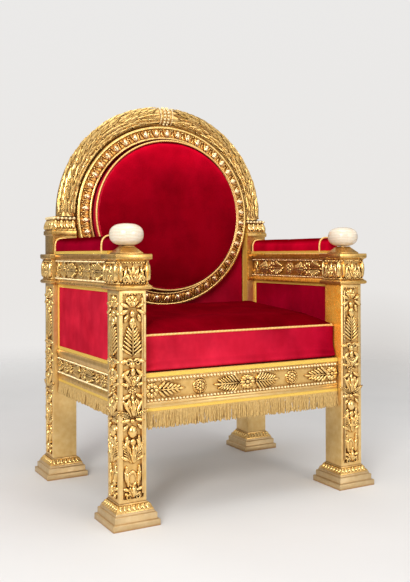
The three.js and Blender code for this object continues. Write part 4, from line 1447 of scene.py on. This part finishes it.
PIPE = 3.0 * MM
CORD_LAY = 9 * MM
PAD_Z = (pad_high.z - pad_low.z) / 2
piping = tube("back_pad_piping", ring_path(PAD_X + MM, PAD_Z + MM, PAD_EDGE - MM, 120), PIPE,
              CORD_LAY, closed=True)
hand_in(dress(piping, CORD), "gold_braid")

# %% [markdown]
# The back panel is a board covered in velvet on both sides: a rectangle that ends in a half
# round behind the ring. A filled circle is cut in half, the cut edge is drawn down to the seat,
# and the sheet is given its thickness. Insets on the outer side make the shallow swell of
# wadding under stretched velvet.

# %% Back panel
panel_low, panel_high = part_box("back_panel")
back_panel = disc("velvet_back_panel", 64, RING_X, (0, panel_low.y, RING_Z), 90)
with edit(back_panel):
    select_all()
    scale_about((0, 0, RING_Z), (1, 1, SQUASH))
    bpy.ops.mesh.bisect(plane_co=(0, 0, RING_Z), plane_no=(0, 0, 1), clear_inner=True)
    work_on("EDGE")
    choose(lambda edge: all(abs(vert.co.z - RING_Z) < MM for vert in edge.verts), "edges")
    push((0, 0, panel_low.z - RING_Z))
    work_on("FACE")
    select_all()
    push((0, panel_high.y - panel_low.y, 0))
    face_outwards()
    choose_side((0, 1, 0))
    inset(11 * MM)
    for border, swell in ((8, 1.6), (30, 2.2), (60, 1.2)):
        inset(border * MM, swell * MM)
hand_in(dress(smooth(back_panel, 35), VELVET), "velvet", "back_panel")

# %% [markdown]
# The seat cushion is T-shaped: narrow between the front posts, wider behind them. Its top slopes
# up to the back and is crowned. The outline is filled and pulled up, the rear of the top is
# raised, the top is inset into a crown, and then the whole is stuffed as cloth.

# %% Seat cushion
seat_low, seat_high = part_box("seat_cushion")
NARROW = 343 * MM
WIDE = seat_high.x - 3 * MM
SEAT_STEP = -BAY + 6 * MM
SEAT_FRONT = seat_low.y + 5 * MM
SEAT_BACK = seat_high.y - 3 * MM
EDGE_TOP = 516 * MM
CORNER = 9 * MM
REAR_RISE = 30 * MM
CROWN_STEPS = ((0.985, 4), (0.96, 5.5), (0.93, 5), (0.89, 4), (0.84, 3), (0.76, 2.2), (0.65, 1.4),
               (0.5, 0.8))
corner_arc = [(NARROW - CORNER + CORNER * math.sin(a), SEAT_FRONT + CORNER - CORNER * math.cos(a))
              for a in [math.radians(15 * i) for i in range(7)]]
right_side = [*corner_arc, (NARROW, SEAT_STEP), (WIDE, SEAT_STEP), (WIDE, SEAT_BACK)]
left_side = [(-x, y) for x, y in reversed(right_side)]
seat = bar("seat_cushion_velvet", [(x, y, seat_low.z + MM) for x, y in right_side + left_side],
           (0, 0, EDGE_TOP - 5 * MM - seat_low.z))
seat_middle = Vector((0, (SEAT_FRONT + SEAT_BACK) / 2, EDGE_TOP + 12 * MM))
with edit(seat, "VERT"):
    choose(lambda vert: vert.co.z > EDGE_TOP - 8 * MM and vert.co.y > SEAT_BACK - MM, "verts")
    bpy.ops.transform.translate(value=(0, 0, REAR_RISE))
    work_on("FACE")
    choose_side((0, 0, 1))
    for scale, swell in CROWN_STEPS:
        push((0, 0, swell * MM))
        scale_about(seat_middle, (scale, scale, scale))
plump(seat, 7.5 * MM, 6.0, 13 * MM, lambda place: place.z < seat_low.z + 8 * MM)
hand_in(seat, "velvet", "seat_cushion")

# %% [markdown]
# Piping. A cord covers the seam round the top of the cushion and the ends of the arm pads. Its
# path is the seam's own line, and each point of it is then dropped onto the stuffed velvet.

# %% Cushion piping
def laid_on(piece, points, proud):
    """Moves each point to the nearest place on a pad, and stands it this far proud of it."""
    laid = []
    for point in points:
        _, place, normal, _ = piece.closest_point_on_mesh(Vector(point))
        laid.append(place + normal * proud)
    return laid


seam = [(NARROW, SEAT_STEP + 2 * MM - t * (SEAT_STEP - SEAT_FRONT - CORNER) / 8, EDGE_TOP)
        for t in range(8)]
seam += [(x, y, EDGE_TOP) for x, y in reversed(corner_arc)]
seam += [((NARROW - CORNER) * (1 - t / 20), SEAT_FRONT, EDGE_TOP) for t in range(1, 20)]
seam += [(0, SEAT_FRONT, EDGE_TOP)] + [(-x, y, z) for x, y, z in reversed(seam)]
SEAT_PIPE = PIPE + 0.2 * MM
seat_piping = tube("seat_cushion_piping", laid_on(seat, seam, 1.2 * MM), SEAT_PIPE, CORD_LAY)
hand_in(dress(seat_piping, CORD), "gold_braid")

# %% [markdown]
# The arm pads are low bolsters. A block gets its long upper edges rounded by a wide bevel, and is
# then stuffed. A ring of piping goes over the pad near its front and at its back end.

# %% Arm pads
arm_low, arm_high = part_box("arm_pad_right")
ARM_PAD_X = (arm_low.x + arm_high.x) / 2
ARM_PAD_FRONT = arm_low.y + 6 * MM
END_SEAM = arm_low.y + 42 * MM
arm_pad = block("arm pad", (arm_low.x + 1.5 * MM, ARM_PAD_FRONT, arm_low.z + 0.5 * MM),
                (arm_high.x - 1.5 * MM, arm_high.y - MM, arm_high.z - 3 * MM))
with edit(arm_pad, "EDGE"):
    choose(lambda edge: all(vert.co.z > arm_high.z - 9 * MM for vert in edge.verts)
           and abs(edge.verts[0].co.x - edge.verts[1].co.x) < MM, "edges")
    bpy.ops.mesh.bevel(offset=20 * MM, segments=8)
    choose(lambda edge: all(vert.co.y < ARM_PAD_FRONT + MM for vert in edge.verts)
           and max(vert.co.z for vert in edge.verts) > arm_low.z + 5 * MM, "edges")
    bpy.ops.mesh.bevel(offset=13 * MM, segments=5)
plump(arm_pad, 4 * MM, 3.0, 4 * MM, lambda place: place.z < arm_low.z + 3 * MM, ARM_VELVET)


ARM_CORD = 3.4 * MM
HOOP = 60 * MM


def over_pad(y):
    """The path of a cord over the pad, at one depth: a wide hoop, drawn in onto the velvet."""
    points = []
    middle = (arm_low.z + arm_high.z) / 2
    for i in range(21):
        angle = math.pi * i / 20
        reach = Vector((math.cos(angle) * HOOP, 0, math.sin(angle) * HOOP))
        points.append(Vector((ARM_PAD_X, y, middle - 6 * MM)) + reach)
    laid = laid_on(arm_pad, points, PIPE * 0.3)
    laid = [Vector((point.x, y, point.z)) for point in laid]
    foot = Vector((laid[0].x, y, arm_low.z + 2 * MM))
    other = Vector((laid[-1].x, y, arm_low.z + 2 * MM))
    return [foot, *laid, other]


ends = [dress(tube("arm cord", over_pad(y), ARM_CORD, CORD_LAY), CORD)
        for y in (END_SEAM, arm_high.y - 5 * MM)]
arm_cords = joined(ends, "arm cords")
mirror = Matrix.Diagonal((-1, 1, 1, 1))
for hand, side in HANDS:
    place = mirror if side < 0 else Matrix.Identity(4)
    pad = twin(arm_pad, place, f"arm_pad_velvet_{hand}")
    cords = twin(arm_cords, place, f"arm_pad_piping_{hand}")
    if side < 0:
        for piece in (pad, cords):
            with edit(piece):
                select_all()
                bpy.ops.mesh.flip_normals()
    hand_in(pad, "velvet", f"arm_pad_{hand}")
    hand_in(cords, "gold_braid")
discard(arm_pad, arm_cords)

# %% [markdown]
# Flat braid. It is sewn round the velvet wherever its edge would show. A strip frame is an
# outline filled to a face, inset by the braid's width, with the middle taken out, and then given
# its thickness. Two raised edges make it read as woven.

# %% Braid frames
BRAID_WIDE = 10 * MM
BRAID_THICK = 1.5 * MM


def groove(out, edge, depth):
    """Sinks the middle of one side, so that both edges of the braid stand proud."""
    choose_side(out)
    inset(edge * MM)
    inset(0.5 * MM, -depth * MM)


def braid_frame(name, corners, thick, out):
    """A flat frame of braid inside these corners."""
    piece = chain(name, corners)
    with edit(piece, "VERT"):
        fill()
        work_on("FACE")
        inset(BRAID_WIDE)
        bpy.ops.mesh.delete(type="FACE")
        select_all()
        push(Vector(out) * thick)
        face_outwards()
        groove(out, 2, 0.6)
    return dress(smooth(piece, 30), BRAID)


def braid_strip(name, low, high, outs, edge, depth):
    """A straight strip of braid between two corners, grooved on these sides."""
    piece = block(name, low, high)
    with edit(piece):
        for out in outs:
            groove(out, edge, depth)
    return dress(smooth(piece, 30), BRAID)


for hand, side in HANDS:
    low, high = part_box(f"side_panel_{hand}")
    panel = block(f"velvet_side_panel_{hand}", low, high)
    with edit(panel):
        for out in ((1, 0, 0), (-1, 0, 0)):
            choose_side(out)
            inset(BRAID_WIDE)
            for border, swell in ((6, 0.8), (18, 0.8), (35, 0.4)):
                inset(border * MM, swell * MM)
    hand_in(dress(smooth(panel, 30), VELVET), "velvet", f"side_panel_{hand}")
    for place, node_name in (("outer", f"outer_braid_{hand}"), ("inner", f"inner_braid_{hand}")):
        low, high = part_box(node_name)
        way = side if place == "outer" else -side
        face_x = low.x if way > 0 else high.x
        corners = [(face_x, low.y, low.z), (face_x, high.y, low.z), (face_x, high.y, high.z),
                   (face_x, low.y, high.z)]
        braid = braid_frame(f"{place}_braid_frame_{hand}", corners, high.x - low.x, (way, 0, 0))
        hand_in(braid, "gold_braid", node_name)

# %% Braid at the foot of the arm pads, round the back and along the seat
for hand, side in HANDS:
    low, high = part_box(f"arm_braid_{hand}")
    braid = braid_strip(f"arm_braid_strip_{hand}", low, high, ((1, 0, 0), (-1, 0, 0), FORWARD),
                        1.6, 0.5)
    hand_in(braid, "gold_braid", f"arm_braid_{hand}")

STRIP_TOP = 814 * MM
for hand, side in HANDS:
    inner = side * INNER_X
    low = (min(inner, inner - side * BRAID_THICK), BAY + 0.6 * MM, panel_low.z)
    high = (max(inner, inner - side * BRAID_THICK), panel_low.y - 0.4 * MM, STRIP_TOP)
    strip = braid_strip(f"back_edge_braid_{hand}", low, high, [(-side, 0, 0)], 4, 0.7)
    hand_in(strip, "gold_braid")

ARCH_SPRING = 800 * MM
low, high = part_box("back_braid")
back_outline = [(high.x, low.y, low.z), (high.x, low.y, ARCH_SPRING)]
back_outline += [(high.x * math.cos(a), low.y, RING_Z + (high.z - RING_Z) * math.sin(a))
                 for a in [math.pi * i / 32 for i in range(33)]]
back_outline += [(-high.x, low.y, ARCH_SPRING), (-high.x, low.y, low.z)]
braid = braid_frame("back_braid_frame", back_outline, high.y - low.y, (0, 1, 0))
hand_in(braid, "gold_braid", "back_braid")

low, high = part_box("seat_braid")
braid = braid_strip("seat_braid_strip", low, high, [FORWARD], 1.8, 0.6)
hand_in(braid, "gold_braid", "seat_braid")

# %% [markdown]
# Fringe. One strand is a small twisted cord: a five-sided ring pulled down and turned step by
# step. Copies hang from a braid header in two rows, each with its own length, lean and turn.
# The random numbers have a seed, so the fringe is the same each time.

# %% One strand of fringe
STRAND_STEPS = 8
STRAND = disc("strand", 5, 1.75 * MM, (0, 0, 0))
with edit(STRAND):
    select_all()
    for step in range(1, STRAND_STEPS + 1):
        sway = 0.9 * MM * math.sin(1.9 * step)
        push((sway, 0.8 * MM * math.cos(2.3 * step), -1 / STRAND_STEPS))
        bpy.ops.transform.rotate(value=math.radians(28), orient_axis="Z",
                                 center_override=(0, 0, 0))
        swell = 1.22 if step % 2 else 1 / 1.22
        scale_about((0, 0, -step / STRAND_STEPS), (swell, swell, 1))
    face_outwards()
smooth(dress(STRAND, FRINGE), 80)
print("strand", len(STRAND.data.polygons), "faces")


# %% Fringes
STRAND_PITCH = 2.7 * MM
STRAND_LEAN = 0.07
SHORTEST = 0.84
FRONT_ROW, ROW_GAP = 2.1, 2.0
HEADER = 9 * MM
HEADER_HALF = 2.6 * MM


def fringe(name, start, end, drop, out, seed):
    """Strands in two rows from start to end, under a header of braid."""
    dice = random.Random(seed)
    start, end, out = Vector(start), Vector(end), Vector(out)
    count = int((end - start).length / STRAND_PITCH)
    places = []
    for row in (0, 1):
        for i in range(count):
            share = (i + 0.5 * row + dice.uniform(-0.25, 0.25)) / count
            spot = start.lerp(end, min(1, max(0, share))) + out * (FRONT_ROW - ROW_GAP * row) * MM
            fall = drop * dice.uniform(SHORTEST, 1.0)
            lean = Matrix.Rotation(dice.gauss(0, STRAND_LEAN), 4, "X")
            lean = lean @ Matrix.Rotation(dice.gauss(0, STRAND_LEAN), 4, "Y")
            turn = Matrix.Rotation(dice.uniform(0, math.tau), 4, "Z")
            size = Matrix.Diagonal((1, 1, fall, 1))
            places.append(Matrix.Translation(spot) @ lean @ turn @ size)
    strands_made = copies(STRAND, places, name)
    half = out * HEADER_HALF
    corners = [start - half, end + half]
    low = Vector([min(a, b) for a, b in zip(*corners)])
    high = Vector([max(a, b) for a, b in zip(*corners)]) + Vector((0, 0, HEADER))
    low.z = start.z - 3 * MM
    return joined([strands_made, braid_strip(name + " header", low, high, [out], 2, 0.7)], name)


for where, out, seed in (("front", FORWARD, 11), ("left", (-1, 0, 0), 19),
                         ("right", (1, 0, 0), 21)):
    low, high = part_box(f"fringe_{where}")
    top = high.z - HEADER
    if where == "front":
        middle = (low.y + high.y) / 2
        start, end = (low.x, middle, top), (high.x, middle, top)
    else:
        middle = (low.x + high.x) / 2
        start, end = (middle, low.y, top), (middle, high.y, top)
    strands_and_header = fringe(f"bullion_fringe_{where}", start, end, top - low.z, out, seed)
    hand_in(strands_and_header, "gold_fringe", f"fringe_{where}")
discard(STRAND)

# %% [markdown]
# The seat deck is the web of jute that carries the cushion. Only its underside and a thin edge
# could ever be seen, so its plain form is kept as it is, and a woven material does the rest.

# %% Seat deck
deck = dress(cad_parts["seat_deck"], JUTE)
print(deck.name, "is covered in", JUTE.name)

# %% [markdown]
# The room. A pale floor that fades out far from the throne, a pale surround, one large soft light
# from the left, two weaker ones from the right, and one above. Gilding shows what it reflects,
# so the surround that lights the throne has dark and bright walls and a bright card in front.
# The camera sees a plain backdrop in its place, with a soft shadow of the throne painted on it.

# %% Floor
FLOOR_RADIUS = 9
FLOOR_SEEN = 4.2
floor = disc("floor", 96, FLOOR_RADIUS, (0, 0, 0))
paper, paper_shader = material("pale paper", Roughness=0.9, Specular_IOR_Level=0.1)
grain = ramp(paper, noise(paper, object_place(paper), 3), [(0.3, (0.74, 0.735, 0.73)),
                                                          (0.7, (0.76, 0.755, 0.75))])
reach = node(paper, "ShaderNodeTexGradient", Vector=object_place(paper, (1 / FLOOR_SEEN,) * 3),
             gradient_type="SPHERICAL")
fade = span(paper, reach.outputs["Fac"], From_Max=0.7, interpolation_type="SMOOTHSTEP")
plug(paper, paper_shader, {"Base Color": grain, "Alpha": fade})
dress(floor, paper)
print("floor of", paper.name, "seen up to", FLOOR_SEEN, "m away")


# %% Lights
def softbox(name, place, target, size, power, colour):
    light = bpy.data.lights.new(name, "AREA")
    light.shape = "RECTANGLE"
    light.size, light.size_y = size
    light.energy = power
    light.color = colour
    lamp = bpy.data.objects.new(name, light)
    lamp.location = place
    lamp.rotation_euler = (Vector(target) - Vector(place)).to_track_quat("-Z", "Y").to_euler()
    bpy.context.scene.collection.objects.link(lamp)
    print(name, "light of", power, "W at", place)


softbox("key", (-3.0, -3.0, 2.2), (0, 0, 0.6), (1.3, 1.8), 124, (1, 0.98, 0.95))
softbox("fill", (1.2, -3.6, 1.6), (0, 0, 0.6), (1.8, 2.0), 11, (1, 0.99, 0.97))
softbox("glint", (1.0, -3.4, 1.5), (0, 0, 0.6), (0.5, 0.6), 9, (1, 0.98, 0.95))
softbox("top", (0.2, -0.4, 3.4), (0, 0, 0.5), (2.4, 2.0), 30, (1, 1, 1))

# %% Surround
BACKDROP = [(0.15, (0.85, 0.84, 0.83)), (0.42, (0.82, 0.80, 0.78)), (0.95, (0.83, 0.82, 0.81))]
CARD_WAY = (0.42, -0.89, 0.15)
CARD_REACH = 0.45
SHADE_WAY = (0.649, 0.741, -0.172)
SHADE_REACH = 0.13
world = bpy.data.worlds.new("surround")
bpy.context.scene.world = world
world.use_nodes = True
background = world.node_tree.nodes["Background"]
way = node(world, "ShaderNodeTexCoord").outputs["Generated"]
height = node(world, "ShaderNodeSeparateXYZ", Vector=way).outputs["Z"]


def towards(direction, reach):
    """1 in one direction, falling to 0 at this reach from it."""
    aside = node(world, "ShaderNodeMapping", Vector=way, Scale=(1 / reach,) * 3,
                 Location=[-part / reach for part in direction]).outputs["Vector"]
    spot = node(world, "ShaderNodeTexGradient", Vector=aside, gradient_type="SPHERICAL")
    return spot.outputs["Fac"]


cards = ramp(world, noise(world, way, 2.3, 1), [(0.40, (0.20, 0.19, 0.18)), (0.60, (1, 1, 1))])
rise = ramp(world, height, [(0.0, (0.6, 0.59, 0.58)), (0.5, (1, 1, 1))])
walls = multiply(world, cards, rise)
card = flat_colour(world, (2.0, 1.95, 1.9))
lit_by = blend(world, towards(CARD_WAY, CARD_REACH), walls, card)
plug(world, background, {"Color": lit_by, "Strength": 0.95})
backdrop = ramp(world, span(world, height, From_Min=-0.35, From_Max=0.35), BACKDROP)
# Painted shadow: the backdrop darkens round one direction, as if the throne's shadow fell there.
shade = ramp(world, towards(SHADE_WAY, SHADE_REACH),
             [(0.0, (1, 1, 1)), (0.85, (0.72, 0.70, 0.68))])
seen = node(world, "ShaderNodeBackground", Color=multiply(world, backdrop, shade))
to_camera = node(world, "ShaderNodeLightPath").outputs["Is Camera Ray"]
either = node(world, "ShaderNodeMixShader", Fac=to_camera)
wire(world, background.outputs[0], either.inputs[1])
wire(world, seen.outputs[0], either.inputs[2])
wire(world, either.outputs[0], world.node_tree.nodes["World Output"].inputs[0])
print(world.name, "with", len(world.node_tree.nodes), "nodes")

# %% Clear the bench
discard(LOBE, LAUREL, BEAD, SCROLL_LEFT, SCROLL_RIGHT, FLOWER, DAISY, PALM, SPRIG, ACANTHUS,
        TULIP, LOOP, PANEL_CARVING, CAPITAL_CARVING, FRONT_FRIEZE, SIDE_FRIEZE, ARM_FRIEZE)
